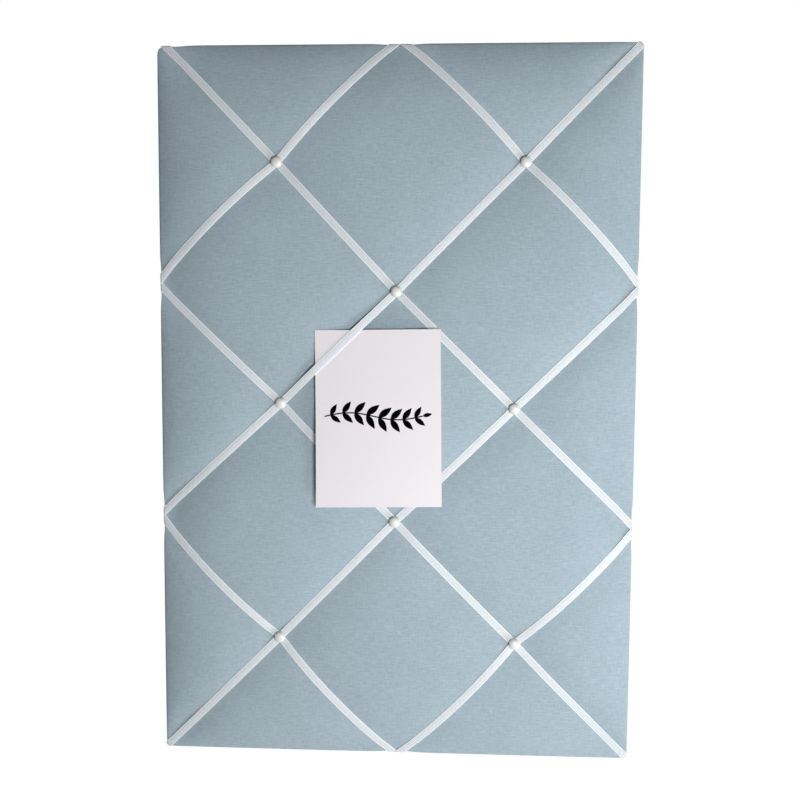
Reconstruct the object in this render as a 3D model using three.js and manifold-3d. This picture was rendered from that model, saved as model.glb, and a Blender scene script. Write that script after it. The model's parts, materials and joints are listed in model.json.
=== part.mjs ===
// French memo board: a padded, cloth-covered panel with crossed ribbons, dome-headed nails where the
// ribbons cross, two ring hangers on the back and a card tucked under one ribbon.
// Millimetres. X runs to the viewer's right, Z runs up and the board faces -Y.
// The origin is the middle of the bare panel's back face.

import * as THREE from 'three';
import { mergeVertices } from 'three/addons/utils/BufferGeometryUtils.js';
import Module from 'manifold-3d';

const wasm = await Module();
wasm.setup();

// Clearance between neighbouring pieces, and how close two points of a mesh lie to be one
const GAP = 0.3;
const WELD_DISTANCE = 1e-4;

// Panel, wadding and cloth
const BOARD_WIDTH = 400;
const BOARD_HEIGHT = 600;
const CORNER_RADIUS = 5;
const PANEL_THICKNESS = 9;
const PANEL_CORNER = 2;
const WADDING_SIDE = 3;
const CLOTH_THICKNESS = 0.8;
const HEM_WIDTH = 25;
const HEM_CORNER = 3;

// Height of the cloth's face above the panel's front
const PAD_AT_NAILS = 3;
const PAD_UNDER_RIBBONS = 6.5;
const PAD_AT_CROWN = 11;
const PAD_AT_RIM = 1;

// How far a nail's dimple, a ribbon's furrow and the rounded rim reach
const DIMPLE_REACH = 35;
const FURROW_REACH = 30;
const RIM_REACH = 22;

// Ribbon pattern: diamonds across and down, and cloth facets along half a diamond
const DIAMONDS_ACROSS = 2;
const DIAMONDS_DOWN = 3;
const FACETS_PER_HALF = 3;
const RIM_RINGS = [16, 7, 2, 0];

// Ribbons, whose stations lie a step apart and, near the rim, at set distances from it
const RIBBON_WIDTH = 6.5;
const RIBBON_THICKNESS = 0.5;
const RIBBON_STEP = 16;
const RIBBON_RIM_STEPS = [33, 24, 16, 11, 7, 4, 2, 0.6];
const CROSSING_PAST_RIM = 3.5;
const CORNER_RIBBON_BOW = 2.5;
const TAIL_PAST_HEM = 18;
const TAIL_SLOPE = 4;

// Dome-headed nails
const HEAD_DIAMETER = 9.4;
const HEAD_HEIGHT = 3.6;
const HEAD_WALL = 0.8;
const SHANK_DIAMETER = 1.6;
const SHANK_POINT = 3;
const SHANK_STOP = 2;
const DOME_STEPS = 4;
const HOLLOW_STEPS = 2;

// How far each hand-set nail or ribbon end lies from its place in an even pattern, to the right and up,
// under its column and row, which are counted from the middle in half diamonds
const HAND_SET = {
  '-1,2': [0.2, 3.9],
  '1,2': [5.9, 3.4],
  '0,1': [0.3, -2.4],
  '-1,0': [3.0, 3.6],
  '1,0': [-0.6, 0.5],
  '0,-1': [-0.3, 3.4],
  '-1,-2': [1.2, 1.7],
  '1,-2': [2.1, -0.3],
  '-2,3': [7.4, 0],
  '0,3': [2.4, 0],
  '-2,1': [0, 4.7],
  '-2,-1': [0, 5.7],
  '2,1': [0, 2.1],
  '2,-1': [0, -0.4],
  '0,-3': [2, 0],
};

// Staples
const STAPLE_WIDTH = 10;
const STAPLE_LEG = 6;
const STAPLE_WIRE_WIDTH = 1.2;
const STAPLE_WIRE_THICKNESS = 0.6;
const STAPLE_FROM_TAIL_END = 6;
const HEM_STAPLES_ACROSS = 2;
const HEM_STAPLES_DOWN = 3;

// Ring hangers
const HANGER_FROM_SIDE = 90;
const HANGER_FROM_TOP = 120;
const STRAP_WIDTH = 9;
const STRAP_LENGTH = 26;
const STRAP_THICKNESS = 0.8;
const RING_WIRE = 2;
const RING_RADIUS = 9;
const RING_BEND = 2.2;
const SCREW_FROM_EYE = 19;
const SCREW_DIAMETER = 3;
const SCREW_HEAD_DIAMETER = 6;
const SCREW_HEAD_HEIGHT = 1.8;
const SCREW_HEAD_EDGE = 0.8;
const SCREW_SLOT_WIDTH = 0.9;
const SCREW_SLOT_LENGTH = 3.4;
const SCREW_SLOT_DEPTH = 1;
const SCREW_POINT = 2.5;
const SCREW_STOP = 2;

// Facets of round pieces, of screw holes and of the hangers' curved outlines
const ROUND_SIDES = 16;
const SCREW_HOLE_SIDES = 12;
const CURVE_SEGMENTS = 12;

// Card, tucked under a ribbon at its upper left corner and drawn out down and to the right
const CARD_WIDTH = 105;
const CARD_HEIGHT = 148;
const CARD_THICKNESS = 0.4;
const CARD_X = -14;
const CARD_Z = -7.9;
const CARD_TURN = THREE.MathUtils.degToRad(0.85);
const CARD_TILT = THREE.MathUtils.degToRad(1.8);
const CARD_TRAVEL = 60;
const CARD_RIBBON = 'rising_ribbon_2';

// Materials
const linen = new THREE.MeshStandardMaterial({ color: 0xa5bac4, roughness: 0.95 });
const fleece = new THREE.MeshStandardMaterial({ color: 0xf2f1ec, roughness: 1 });
const fibreboard = new THREE.MeshStandardMaterial({ color: 0xa98a63, roughness: 0.9 });
const satin = new THREE.MeshStandardMaterial({ color: 0xf3f3f0, roughness: 0.45 });
const pearl = new THREE.MeshStandardMaterial({ color: 0xe9e7dc, roughness: 0.35 });
const zinc = new THREE.MeshStandardMaterial({ color: 0xb9bbbd, roughness: 0.35, metalness: 1 });
const steel = new THREE.MeshStandardMaterial({ color: 0xc4c6c8, roughness: 0.3, metalness: 1 });
const stock = new THREE.MeshStandardMaterial({ color: 0xf0ecee, roughness: 0.8 });

const board = new THREE.Group();

// Levels along Y and layers in from the sides
const PANEL_FRONT = -PANEL_THICKNESS;
const HEM_FRONT = GAP;
const HEM_BACK = HEM_FRONT + CLOTH_THICKNESS;
const RIM_LEVEL = PANEL_FRONT - PAD_AT_RIM;
const WADDING_INSET = CLOTH_THICKNESS + GAP;
const PANEL_INSET = WADDING_INSET + WADDING_SIDE + GAP;

// Places of the hangers
const HANGER_X = BOARD_WIDTH / 2 - HANGER_FROM_SIDE;
const HANGER_Z = BOARD_HEIGHT / 2 - HANGER_FROM_TOP;

function addPiece(name, geometry, material) {
  const piece = new THREE.Mesh(geometry, material);
  piece.name = name;
  board.add(piece);
  return piece;
}

// Closed meshes and cuts

function closedMesh(points, triangles) {
  const geometry = new THREE.BufferGeometry();
  geometry.setAttribute('position', new THREE.Float32BufferAttribute(points.flat(), 3));
  geometry.setIndex(triangles.flat());
  return geometry;
}

function toSolid(geometry) {
  const bare = geometry.clone();
  bare.deleteAttribute('normal');
  bare.deleteAttribute('uv');
  const merged = mergeVertices(bare, WELD_DISTANCE);
  const vertProperties = new Float32Array(merged.attributes.position.array);
  const triVerts = new Uint32Array(merged.index.array);
  return new wasm.Manifold(new wasm.Mesh({ numProp: 3, vertProperties, triVerts }));
}

function toGeometry(solid) {
  const mesh = solid.getMesh();
  const geometry = new THREE.BufferGeometry();
  geometry.setAttribute('position', new THREE.BufferAttribute(new Float32Array(mesh.vertProperties), 3));
  geometry.setIndex(new THREE.BufferAttribute(new Uint32Array(mesh.triVerts), 1));
  return geometry;
}

function cutAway(geometry, cutters) {
  let solid = toSolid(geometry);
  for (const cutter of cutters) {
    solid = solid.subtract(toSolid(cutter));
  }
  return toGeometry(solid);
}

// A round cutter or pin along Y between two levels
function rodAlongY(x, z, diameter, from, to, sides) {
  const rod = new THREE.CylinderGeometry(diameter / 2, diameter / 2, to - from, sides);
  return rod.translate(x, (from + to) / 2, z);
}

// Points of a quarter ellipse from its rim to its top
function quarterArc(radius, height, steps) {
  const points = [];
  for (let i = 0; i <= steps; i += 1) {
    const turn = (i / steps) * (Math.PI / 2);
    points.push(new THREE.Vector2(radius * Math.cos(turn), height * Math.sin(turn)));
  }
  points.at(-1).x = 0;
  return points;
}

// Ribbon pattern

// A ribbon's end that is shifted off a corner leaves over one edge alone
function latticePoint(column, row) {
  const shift = HAND_SET[`${column},${row}`] ?? [0, 0];
  const lastColumn = Math.abs(column) === DIAMONDS_ACROSS;
  const lastRow = Math.abs(row) === DIAMONDS_DOWN;
  const x = (column * BOARD_WIDTH) / (2 * DIAMONDS_ACROSS) + shift[0];
  const z = (row * BOARD_HEIGHT) / (2 * DIAMONDS_DOWN) + shift[1];
  const point = new THREE.Vector2(x, z);
  if (lastColumn && !lastRow) {
    point.x += Math.sign(column) * CROSSING_PAST_RIM;
  }
  if (lastRow && !lastColumn) {
    point.y += Math.sign(row) * CROSSING_PAST_RIM;
  }
  const atSide = lastColumn && Math.abs(shift[0]) < CORNER_RADIUS;
  const atEnd = lastRow && Math.abs(shift[1]) < CORNER_RADIUS;
  const offCorner = lastColumn && lastRow && atSide !== atEnd;
  return { point, atSide, atEnd, offCorner, column, row };
}

// The ribbon that starts at a lattice place on the rim and steps a half diamond sideways and down
function ribbonNodes(column, row, step) {
  const nodes = [];
  let c = column;
  let r = row;
  while (Math.abs(c) <= DIAMONDS_ACROSS && Math.abs(r) <= DIAMONDS_DOWN) {
    nodes.push(latticePoint(c, r));
    c += step;
    r -= 1;
  }
  return nodes;
}

// A family starts along the top and down the side that it leans from, the topmost ribbon first
function ribbonFamily(prefix, step) {
  const starts = [];
  for (let c = DIAMONDS_ACROSS - 2; c >= -DIAMONDS_ACROSS; c -= 2) {
    starts.push([step * c, DIAMONDS_DOWN]);
  }
  for (let r = DIAMONDS_DOWN - 2; r > -DIAMONDS_DOWN; r -= 2) {
    starts.push([-step * DIAMONDS_ACROSS, r]);
  }
  return starts.map(([c, r], i) => {
    const nodes = ribbonNodes(c, r, step);
    const overCorner = nodes.length === 3;
    return { name: `${prefix}_${i + 1}`, nodes, bow: overCorner ? CORNER_RIBBON_BOW : 0 };
  });
}

function leftOf(direction) {
  return new THREE.Vector2(-direction.y, direction.x);
}

// A stretch from a nail to the rim, which bows away from the board's middle
function bowedStretch(nail, end, bow) {
  const stretch = end.clone().sub(nail);
  const aside = leftOf(stretch).setLength(bow);
  if (aside.dot(nail) < 0) {
    aside.negate();
  }
  const placeAt = (share) => {
    const away = 4 * share * (1 - share);
    return nail.clone().addScaledVector(stretch, share).addScaledVector(aside, away);
  };
  const directionAt = (share) => stretch.clone().addScaledVector(aside, 4 - 8 * share).normalize();
  return { length: stretch.length(), placeAt, directionAt };
}

const BOW_SHARES = [1, 0.75, 0.5, 0.25];

// The line that a ribbon follows on the face
function ribbonLine(ribbon) {
  const points = ribbon.nodes.map((node) => node.point);
  if (ribbon.bow === 0) {
    return points;
  }
  const [start, nail, end] = points;
  const first = bowedStretch(nail, start, ribbon.bow);
  const second = bowedStretch(nail, end, ribbon.bow);
  return [...BOW_SHARES.map(first.placeAt), nail, ...BOW_SHARES.map(second.placeAt).reverse()];
}

const fallingRibbons = ribbonFamily('falling_ribbon', 1);
const risingRibbons = ribbonFamily('rising_ribbon', -1);
const ribbonLines = [...fallingRibbons, ...risingRibbons].map(ribbonLine);

const nailPoints = [];
for (let row = DIAMONDS_DOWN - 1; row > -DIAMONDS_DOWN; row -= 1) {
  for (let column = 1 - DIAMONDS_ACROSS; column < DIAMONDS_ACROSS; column += 1) {
    const onLattice = (column + row + DIAMONDS_ACROSS + DIAMONDS_DOWN) % 2 === 0;
    if (onLattice) {
      nailPoints.push(latticePoint(column, row).point);
    }
  }
}

// Padded face

function distanceToLine(place, line) {
  let least = Infinity;
  for (let i = 1; i < line.length; i += 1) {
    const along = line[i].clone().sub(line[i - 1]);
    const share = place.clone().sub(line[i - 1]).dot(along) / along.lengthSq();
    const foot = line[i - 1].clone().addScaledVector(along, THREE.MathUtils.clamp(share, 0, 1));
    least = Math.min(least, foot.distanceTo(place));
  }
  return least;
}

function distanceFromRim(x, z) {
  const pastX = Math.abs(x) - BOARD_WIDTH / 2 + CORNER_RADIUS;
  const pastZ = Math.abs(z) - BOARD_HEIGHT / 2 + CORNER_RADIUS;
  const outside = Math.hypot(Math.max(pastX, 0), Math.max(pastZ, 0));
  const inside = Math.min(Math.max(pastX, pastZ), 0);
  return CORNER_RADIUS - outside - inside;
}

function riseFrom(distance, reach) {
  return 1 - Math.exp(-((distance / reach) ** 2));
}

// The cloth dips at each nail, lies in a furrow under each ribbon, crowns between and rolls over at the rim
function padHeight(x, z) {
  const place = new THREE.Vector2(x, z);
  let fromNails = 1;
  for (const nail of nailPoints) {
    fromNails *= riseFrom(nail.distanceTo(place), DIMPLE_REACH);
  }
  let fromRibbons = 1;
  for (const line of ribbonLines) {
    fromRibbons *= riseFrom(distanceToLine(place, line), FURROW_REACH);
  }
  const ribbonRise = (PAD_UNDER_RIBBONS - PAD_AT_NAILS) * fromNails;
  const crownRise = (PAD_AT_CROWN - PAD_UNDER_RIBBONS) * fromRibbons;
  const height = PAD_AT_NAILS + ribbonRise + crownRise;
  const toRim = 1 - THREE.MathUtils.clamp(distanceFromRim(x, z) / RIM_REACH, 0, 1);
  return PAD_AT_RIM + (height - PAD_AT_RIM) * Math.sqrt(1 - toRim ** 2);
}

// A loop round a rectangle with round corners, from the lower right corner and up, as places with an
// outward direction and a turn that counts the corners
const CORNERS = [[1, -1], [1, 1], [-1, 1], [-1, -1]];
const CORNER_STEP = 0.01;

function roundedLoop(halfWidth, halfHeight, radius, sideSteps) {
  const loop = [];
  CORNERS.forEach(([sx, sz], corner) => {
    const middleAngle = Math.atan2(sz, sx);
    for (const bend of [-1, 0, 1]) {
      const angle = middleAngle + (bend * Math.PI) / 4;
      const nx = Math.cos(angle);
      const nz = Math.sin(angle);
      const x = sx * (halfWidth - radius) + radius * nx;
      const z = sz * (halfHeight - radius) + radius * nz;
      loop.push({ x, z, nx, nz, turn: corner + bend * CORNER_STEP });
    }
    const upright = corner % 2 === 0;
    for (const { share, at } of sideSteps(corner)) {
      const turn = corner + share;
      if (upright) {
        loop.push({ x: sx * halfWidth, z: at, nx: sx, nz: 0, turn });
      } else {
        loop.push({ x: at, z: sz * halfHeight, nx: 0, nz: sz, turn });
      }
    }
  });
  return loop;
}

const NO_STEPS = () => [];
const COLUMNS = DIAMONDS_ACROSS * 2 * FACETS_PER_HALF;
const ROWS = DIAMONDS_DOWN * 2 * FACETS_PER_HALF;

function columnX(column) {
  return BOARD_WIDTH * (column / COLUMNS - 0.5);
}

function rowZ(row) {
  return BOARD_HEIGHT * (row / ROWS - 0.5);
}

// Places along a side that line up with the facets of the padded face, in the order of the loop
function facetSteps(corner) {
  const upright = corner % 2 === 0;
  const count = upright ? ROWS : COLUMNS;
  const ascending = corner === 0 || corner === 3;
  const steps = [];
  for (let step = 2; step < count - 1; step += 1) {
    const index = ascending ? step : count - step;
    steps.push({ share: step / count, at: upright ? rowZ(index) : columnX(index) });
  }
  return steps;
}

// Triangles between two loops that run the same way, the second one further from the middle of the face
function stripBetween(first, second) {
  const triangles = [];
  const turnAfter = (loop, i) => (i < loop.length ? loop[i].turn : loop[0].turn + CORNERS.length);
  const item = (loop, i) => loop[i % loop.length].index;
  let i = 0;
  let j = 0;
  while (i < first.length || j < second.length) {
    const moveSecond = j < second.length && (i >= first.length
      || turnAfter(second, j + 1) <= turnAfter(first, i + 1));
    if (moveSecond) {
      triangles.push([item(first, i), item(second, j), item(second, j + 1)]);
      j += 1;
    } else {
      triangles.push([item(first, i), item(second, j), item(first, i + 1)]);
      i += 1;
    }
  }
  return triangles;
}

// The padded face as places with a height and an outward direction, its triangles and its outer loop
function paddedFace() {
  const places = [];
  const triangles = [];
  const add = (place) => {
    place.index = places.length;
    places.push(place);
    return place;
  };
  const grid = [];
  for (let row = 1; row < ROWS; row += 1) {
    const line = [];
    for (let column = 1; column < COLUMNS; column += 1) {
      const x = columnX(column);
      const z = rowZ(row);
      line.push(add({ x, z, height: padHeight(x, z), nx: 0, nz: 0 }));
    }
    grid.push(line);
  }
  for (let row = 1; row < grid.length; row += 1) {
    for (let column = 1; column < grid[row].length; column += 1) {
      const lowLeft = grid[row - 1][column - 1];
      const lowRight = grid[row - 1][column];
      const topLeft = grid[row][column - 1];
      const topRight = grid[row][column];
      const middle = padHeight((lowLeft.x + topRight.x) / 2, (lowLeft.z + topRight.z) / 2);
      const rising = Math.abs((lowLeft.height + topRight.height) / 2 - middle);
      const falling = Math.abs((lowRight.height + topLeft.height) / 2 - middle);
      if (rising <= falling) {
        triangles.push([lowLeft.index, lowRight.index, topRight.index]);
        triangles.push([lowLeft.index, topRight.index, topLeft.index]);
      } else {
        triangles.push([lowLeft.index, lowRight.index, topLeft.index]);
        triangles.push([lowRight.index, topRight.index, topLeft.index]);
      }
    }
  }
  let loop = gridBorder(grid);
  for (const ring of RIM_RINGS) {
    const halfWidth = BOARD_WIDTH / 2 - ring;
    const halfHeight = BOARD_HEIGHT / 2 - ring;
    const next = roundedLoop(halfWidth, halfHeight, CORNER_RADIUS + ring / 2, facetSteps);
    for (const place of next) {
      place.height = ring > 0 ? padHeight(place.x, place.z) : PAD_AT_RIM;
      add(place);
    }
    triangles.push(...stripBetween(loop, next));
    loop = next;
  }
  return { places, triangles, rim: loop };
}

// The outermost places of the grid in the order of a rounded loop
function gridBorder(grid) {
  const lastRow = grid.length - 1;
  const lastColumn = grid[0].length - 1;
  const border = [];
  const put = (row, column, corner, step, count) => {
    const turn = step === 0 ? corner : corner + (step + 1) / count;
    border.push({ ...grid[row][column], turn });
  };
  for (let row = 0; row < lastRow; row += 1) {
    put(row, lastColumn, 0, row, ROWS);
  }
  for (let column = lastColumn; column > 0; column -= 1) {
    put(lastRow, column, 1, lastColumn - column, COLUMNS);
  }
  for (let row = lastRow; row > 0; row -= 1) {
    put(row, 0, 2, lastRow - row, ROWS);
  }
  for (let column = 0; column < lastColumn; column += 1) {
    put(0, column, 3, column, COLUMNS);
  }
  return border;
}

const face = paddedFace();

// The face drawn in by a depth, so that layers of cloth and wadding lie inside each other
function drawnIn(places, depth) {
  return places.map((p) => [p.x - p.nx * depth, PANEL_FRONT - p.height + depth, p.z - p.nz * depth]);
}

// A body that grows by loops of points at a level along Y
function loopBody() {
  const points = [];
  const triangles = [];
  const addLoop = (loop, level) => loop.map((place) => {
    points.push([place.x, level, place.z]);
    return { ...place, index: points.length - 1 };
  });
  return { points, triangles, addLoop };
}

function cornerLoop(inset, radius) {
  return roundedLoop(BOARD_WIDTH / 2 - inset, BOARD_HEIGHT / 2 - inset, radius, NO_STEPS);
}

function flipped(triangles) {
  return triangles.map(([a, b, c]) => [a, c, b]);
}

function shifted(triangles, by) {
  return triangles.map((triangle) => triangle.map((index) => index + by));
}

function shiftedLoop(loop, by) {
  return loop.map((place) => ({ ...place, index: place.index + by }));
}

// Nail holes go through everything in front of the panel and end inside it
const SHANK_HOLE = SHANK_DIAMETER + 2 * GAP;
const HOLE_SIDES = 6;

function nailHoles(points) {
  const front = PANEL_FRONT - 2 * PAD_AT_CROWN;
  const end = -SHANK_STOP + GAP;
  return points.map((p) => rodAlongY(p.x, p.y, SHANK_HOLE, front, end, HOLE_SIDES));
}

// Staples

const staples = [];

function addStaple(name, x, z, angle, crownLevel) {
  staples.push({ name, x, z, angle, crownLevel });
}

function stapleGeometry() {
  const half = STAPLE_WIDTH / 2;
  const wire = STAPLE_WIRE_THICKNESS;
  const outline = new THREE.Shape();
  outline.moveTo(-half, wire);
  outline.lineTo(-half, -STAPLE_LEG);
  outline.lineTo(wire - half, -STAPLE_LEG);
  outline.lineTo(wire - half, 0);
  outline.lineTo(half - wire, 0);
  outline.lineTo(half - wire, -STAPLE_LEG);
  outline.lineTo(half, -STAPLE_LEG);
  outline.lineTo(half, wire);
  outline.closePath();
  const staple = new THREE.ExtrudeGeometry(outline, { depth: STAPLE_WIRE_WIDTH, bevelEnabled: false });
  return staple.translate(0, 0, -STAPLE_WIRE_WIDTH / 2);
}

// Room for both legs of a staple, from above its crown to past its points
function stapleHoles(staple) {
  const reach = (STAPLE_WIDTH - STAPLE_WIRE_THICKNESS) / 2;
  const height = STAPLE_LEG + 2 * GAP;
  return [-reach, reach].map((across) => {
    const width = STAPLE_WIRE_THICKNESS + 2 * GAP;
    const depth = STAPLE_WIRE_WIDTH + 2 * GAP;
    const room = new THREE.BoxGeometry(width, height, depth);
    room.translate(across, GAP - height / 2, 0);
    room.rotateY(staple.angle);
    return room.translate(staple.x, staple.crownLevel, staple.z);
  });
}

function addHemStaples() {
  const inset = HEM_WIDTH / 2 + PANEL_INSET / 2;
  const level = HEM_BACK + GAP;
  let count = 0;
  const put = (x, z, angle) => {
    count += 1;
    addStaple(`hem_staple_${count}`, x, z, angle, level);
  };
  for (const end of [1, -1]) {
    for (let i = 0; i < HEM_STAPLES_ACROSS; i += 1) {
      const x = BOARD_WIDTH * ((i + 0.5) / HEM_STAPLES_ACROSS - 0.5);
      put(x, end * (BOARD_HEIGHT / 2 - inset), 0);
    }
  }
  for (const side of [-1, 1]) {
    for (let i = 0; i < HEM_STAPLES_DOWN; i += 1) {
      const z = BOARD_HEIGHT * ((i + 0.5) / HEM_STAPLES_DOWN - 0.5);
      put(side * (BOARD_WIDTH / 2 - inset), z, Math.PI / 2);
    }
  }
}

// Cloth cover: outer skin, side, hem, and the same again inside

function clothGeometry() {
  const body = loopBody();
  body.points.push(...drawnIn(face.places, 0));
  body.triangles.push(...face.triangles);
  const outerBack = body.addLoop(cornerLoop(0, CORNER_RADIUS), HEM_BACK);
  const hemOuter = body.addLoop(cornerLoop(HEM_WIDTH, HEM_CORNER), HEM_BACK);
  const hemInner = body.addLoop(cornerLoop(HEM_WIDTH, HEM_CORNER), HEM_FRONT);
  const innerRadius = CORNER_RADIUS - CLOTH_THICKNESS;
  const innerBack = body.addLoop(cornerLoop(CLOTH_THICKNESS, innerRadius), HEM_FRONT);
  const innerStart = body.points.length;
  body.points.push(...drawnIn(face.places, CLOTH_THICKNESS));
  const innerRim = shiftedLoop(face.rim, innerStart);
  const loops = [face.rim, outerBack, hemOuter, hemInner, innerBack, innerRim];
  for (let i = 1; i < loops.length; i += 1) {
    body.triangles.push(...stripBetween(loops[i - 1], loops[i]));
  }
  body.triangles.push(...flipped(shifted(face.triangles, innerStart)));
  return closedMesh(body.points, body.triangles);
}

// Wadding: the padded face drawn in, folded over the sides, with a pocket for the panel

function fanOver(loop) {
  const triangles = [];
  for (let i = 2; i < loop.length; i += 1) {
    triangles.push([loop[0].index, loop[i - 1].index, loop[i].index]);
  }
  return triangles;
}

function waddingGeometry() {
  const body = loopBody();
  body.points.push(...drawnIn(face.places, WADDING_INSET));
  body.triangles.push(...face.triangles);
  const pocketInset = PANEL_INSET - GAP;
  const pocketRadius = PANEL_CORNER + GAP;
  const outerBack = body.addLoop(cornerLoop(WADDING_INSET, CORNER_RADIUS - WADDING_INSET), 0);
  const pocketBack = body.addLoop(cornerLoop(pocketInset, pocketRadius), 0);
  const pocketFront = body.addLoop(cornerLoop(pocketInset, pocketRadius), PANEL_FRONT - GAP);
  const loops = [face.rim, outerBack, pocketBack, pocketFront];
  for (let i = 1; i < loops.length; i += 1) {
    body.triangles.push(...stripBetween(loops[i - 1], loops[i]));
  }
  body.triangles.push(...flipped(fanOver(pocketFront)));
  return closedMesh(body.points, body.triangles);
}

// Panel, with a plain rectangle between the hangers in the middle of its back

function panelGeometry() {
  const body = loopBody();
  const front = body.addLoop(cornerLoop(PANEL_INSET, PANEL_CORNER), PANEL_FRONT);
  const back = body.addLoop(cornerLoop(PANEL_INSET, PANEL_CORNER), 0);
  const plain = CORNERS.map(([sx, sz], corner) => {
    const z = sz > 0 ? HANGER_Z - STRAP_LENGTH : -HANGER_Z;
    return { x: sx * (HANGER_X - 2 * RING_RADIUS), z, turn: corner };
  });
  const middle = body.addLoop(plain, 0);
  body.triangles.push(...fanOver(front));
  body.triangles.push(...stripBetween(front, back));
  body.triangles.push(...stripBetween(back, middle));
  body.triangles.push(...flipped(fanOver(middle)));
  return closedMesh(body.points, body.triangles);
}

// Relief: the heights of what already lies on the board, for the next layer to lie on

const relief = [];
const LEAST_AREA = 1e-9;

function addToRelief(a, b, c) {
  const xs = [a.x, b.x, c.x];
  const zs = [a.z, b.z, c.z];
  const area = (b.x - a.x) * (c.z - a.z) - (c.x - a.x) * (b.z - a.z);
  if (Math.abs(area) > LEAST_AREA) {
    const box = [Math.min(...xs), Math.max(...xs), Math.min(...zs), Math.max(...zs)];
    relief.push({ a, b, c, area, box });
  }
}

function reliefAt(x, z) {
  let top = -Infinity;
  for (const { a, b, c, area, box } of relief) {
    if (x >= box[0] && x <= box[1] && z >= box[2] && z <= box[3]) {
      const shareB = ((x - a.x) * (c.z - a.z) - (c.x - a.x) * (z - a.z)) / area;
      const shareC = ((b.x - a.x) * (z - a.z) - (x - a.x) * (b.z - a.z)) / area;
      if (shareB >= 0 && shareC >= 0 && shareB + shareC <= 1) {
        const height = a.height + shareB * (b.height - a.height) + shareC * (c.height - a.height);
        top = Math.max(top, height);
      }
    }
  }
  return top;
}

for (const [a, b, c] of face.triangles) {
  addToRelief(face.places[a], face.places[b], face.places[c]);
}

// Ribbons

const ACROSS = [-1, -0.5, 0, 0.5, 1];
const CROSSING_STEPS = [0, RIBBON_WIDTH / 2, RIBBON_WIDTH * 1.5];
const SAMPLES_PER_STEP = 8;
const SECTION_CORNERS = 4;

// Stations are places along a ribbon with the half-width vector to its left edge
function stationsBetweenNails(from, to) {
  const direction = to.clone().sub(from).normalize();
  const length = to.distanceTo(from);
  const distances = [...CROSSING_STEPS];
  const middle = length - 2 * CROSSING_STEPS.at(-1);
  const count = Math.ceil(middle / RIBBON_STEP);
  for (let i = 1; i < count; i += 1) {
    distances.push(CROSSING_STEPS.at(-1) + (middle * i) / count);
  }
  distances.push(...CROSSING_STEPS.toReversed().slice(0, -1).map((step) => length - step));
  const half = leftOf(direction).multiplyScalar(RIBBON_WIDTH / 2);
  return distances.map((d) => ({ centre: from.clone().addScaledVector(direction, d), half }));
}

// How a ribbon leaves the face: the outward direction of the rim there and the line that it crosses
function rimCrossing(nail, end, bow) {
  const straight = end.point.clone().sub(nail).normalize();
  const outward = new THREE.Vector2(0, 0);
  if (end.atSide) {
    outward.x = Math.sign(end.column);
  }
  if (end.atEnd) {
    outward.y = Math.sign(end.row);
  }
  const atCorner = end.atSide && end.atEnd;
  let rim = end.atSide ? BOARD_WIDTH / 2 : BOARD_HEIGHT / 2;
  if (atCorner) {
    outward.normalize();
    const centre = new THREE.Vector2(BOARD_WIDTH / 2 - CORNER_RADIUS, BOARD_HEIGHT / 2 - CORNER_RADIUS);
    rim = centre.dot(new THREE.Vector2(Math.abs(outward.x), Math.abs(outward.y))) + CORNER_RADIUS;
  }
  const along = leftOf(outward);
  const pastRim = (end.point.dot(outward) - rim) / straight.dot(outward);
  const start = end.point.clone().addScaledVector(straight, -pastRim);
  const stretch = bowedStretch(nail, start, bow);
  const direction = stretch.directionAt(1);
  const forward = direction.dot(outward);
  const half = along.clone().multiplyScalar(RIBBON_WIDTH / 2 / forward);
  const sideDrift = along.clone().multiplyScalar(direction.dot(along) / forward);
  const backDrift = sideDrift.clone();
  if (end.offCorner) {
    sideDrift.set(0, 0);
    backDrift.copy(along).multiplyScalar(-Math.sign(along.dot(start)));
  }
  let hemReach = HEM_WIDTH + GAP;
  if (atCorner) {
    const cornerCut = CORNER_RADIUS * (Math.SQRT2 - 1);
    hemReach = HEM_WIDTH * Math.SQRT2 + RIBBON_WIDTH / 2 - cornerCut + GAP;
  }
  return { stretch, outward, forward, start, half, sideDrift, backDrift, hemReach, atCorner };
}

// Stations on the face from a nail to the rim, the last ones cut parallel to the rim
function stationsToRim(crossing) {
  const { stretch, forward, half } = crossing;
  const stations = [];
  const freeLength = stretch.length - RIBBON_RIM_STEPS[0] / forward;
  const count = Math.ceil((freeLength - CROSSING_STEPS.at(-1)) / RIBBON_STEP);
  const distances = [...CROSSING_STEPS];
  for (let i = 1; i < count; i += 1) {
    distances.push(CROSSING_STEPS.at(-1) + ((freeLength - CROSSING_STEPS.at(-1)) * i) / count);
  }
  for (const distance of distances) {
    const share = distance / stretch.length;
    const square = leftOf(stretch.directionAt(share)).multiplyScalar(RIBBON_WIDTH / 2);
    stations.push({ centre: stretch.placeAt(share), half: square });
  }
  for (const step of RIBBON_RIM_STEPS) {
    stations.push({ centre: stretch.placeAt(1 - step / forward / stretch.length), half });
  }
  return stations;
}

// Lays stations on the relief, with room under every stretch
function layOnRelief(stations, clearance) {
  const reach = (centre, half) => {
    let top = -Infinity;
    for (const share of ACROSS) {
      const edge = centre.clone().addScaledVector(half, share);
      top = Math.max(top, reliefAt(edge.x, edge.y));
    }
    return top + clearance;
  };
  for (const station of stations) {
    station.height = reach(station.centre, station.half);
  }
  for (let i = 1; i < stations.length; i += 1) {
    const before = stations[i - 1];
    const after = stations[i];
    let lift = 0;
    for (let k = 1; k < SAMPLES_PER_STEP; k += 1) {
      const share = k / SAMPLES_PER_STEP;
      const centre = before.centre.clone().lerp(after.centre, share);
      const half = before.half.clone().lerp(after.half, share);
      const height = THREE.MathUtils.lerp(before.height, after.height, share);
      lift = Math.max(lift, reach(centre, half) - height);
    }
    before.height += lift;
    after.height += lift;
  }
}

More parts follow.
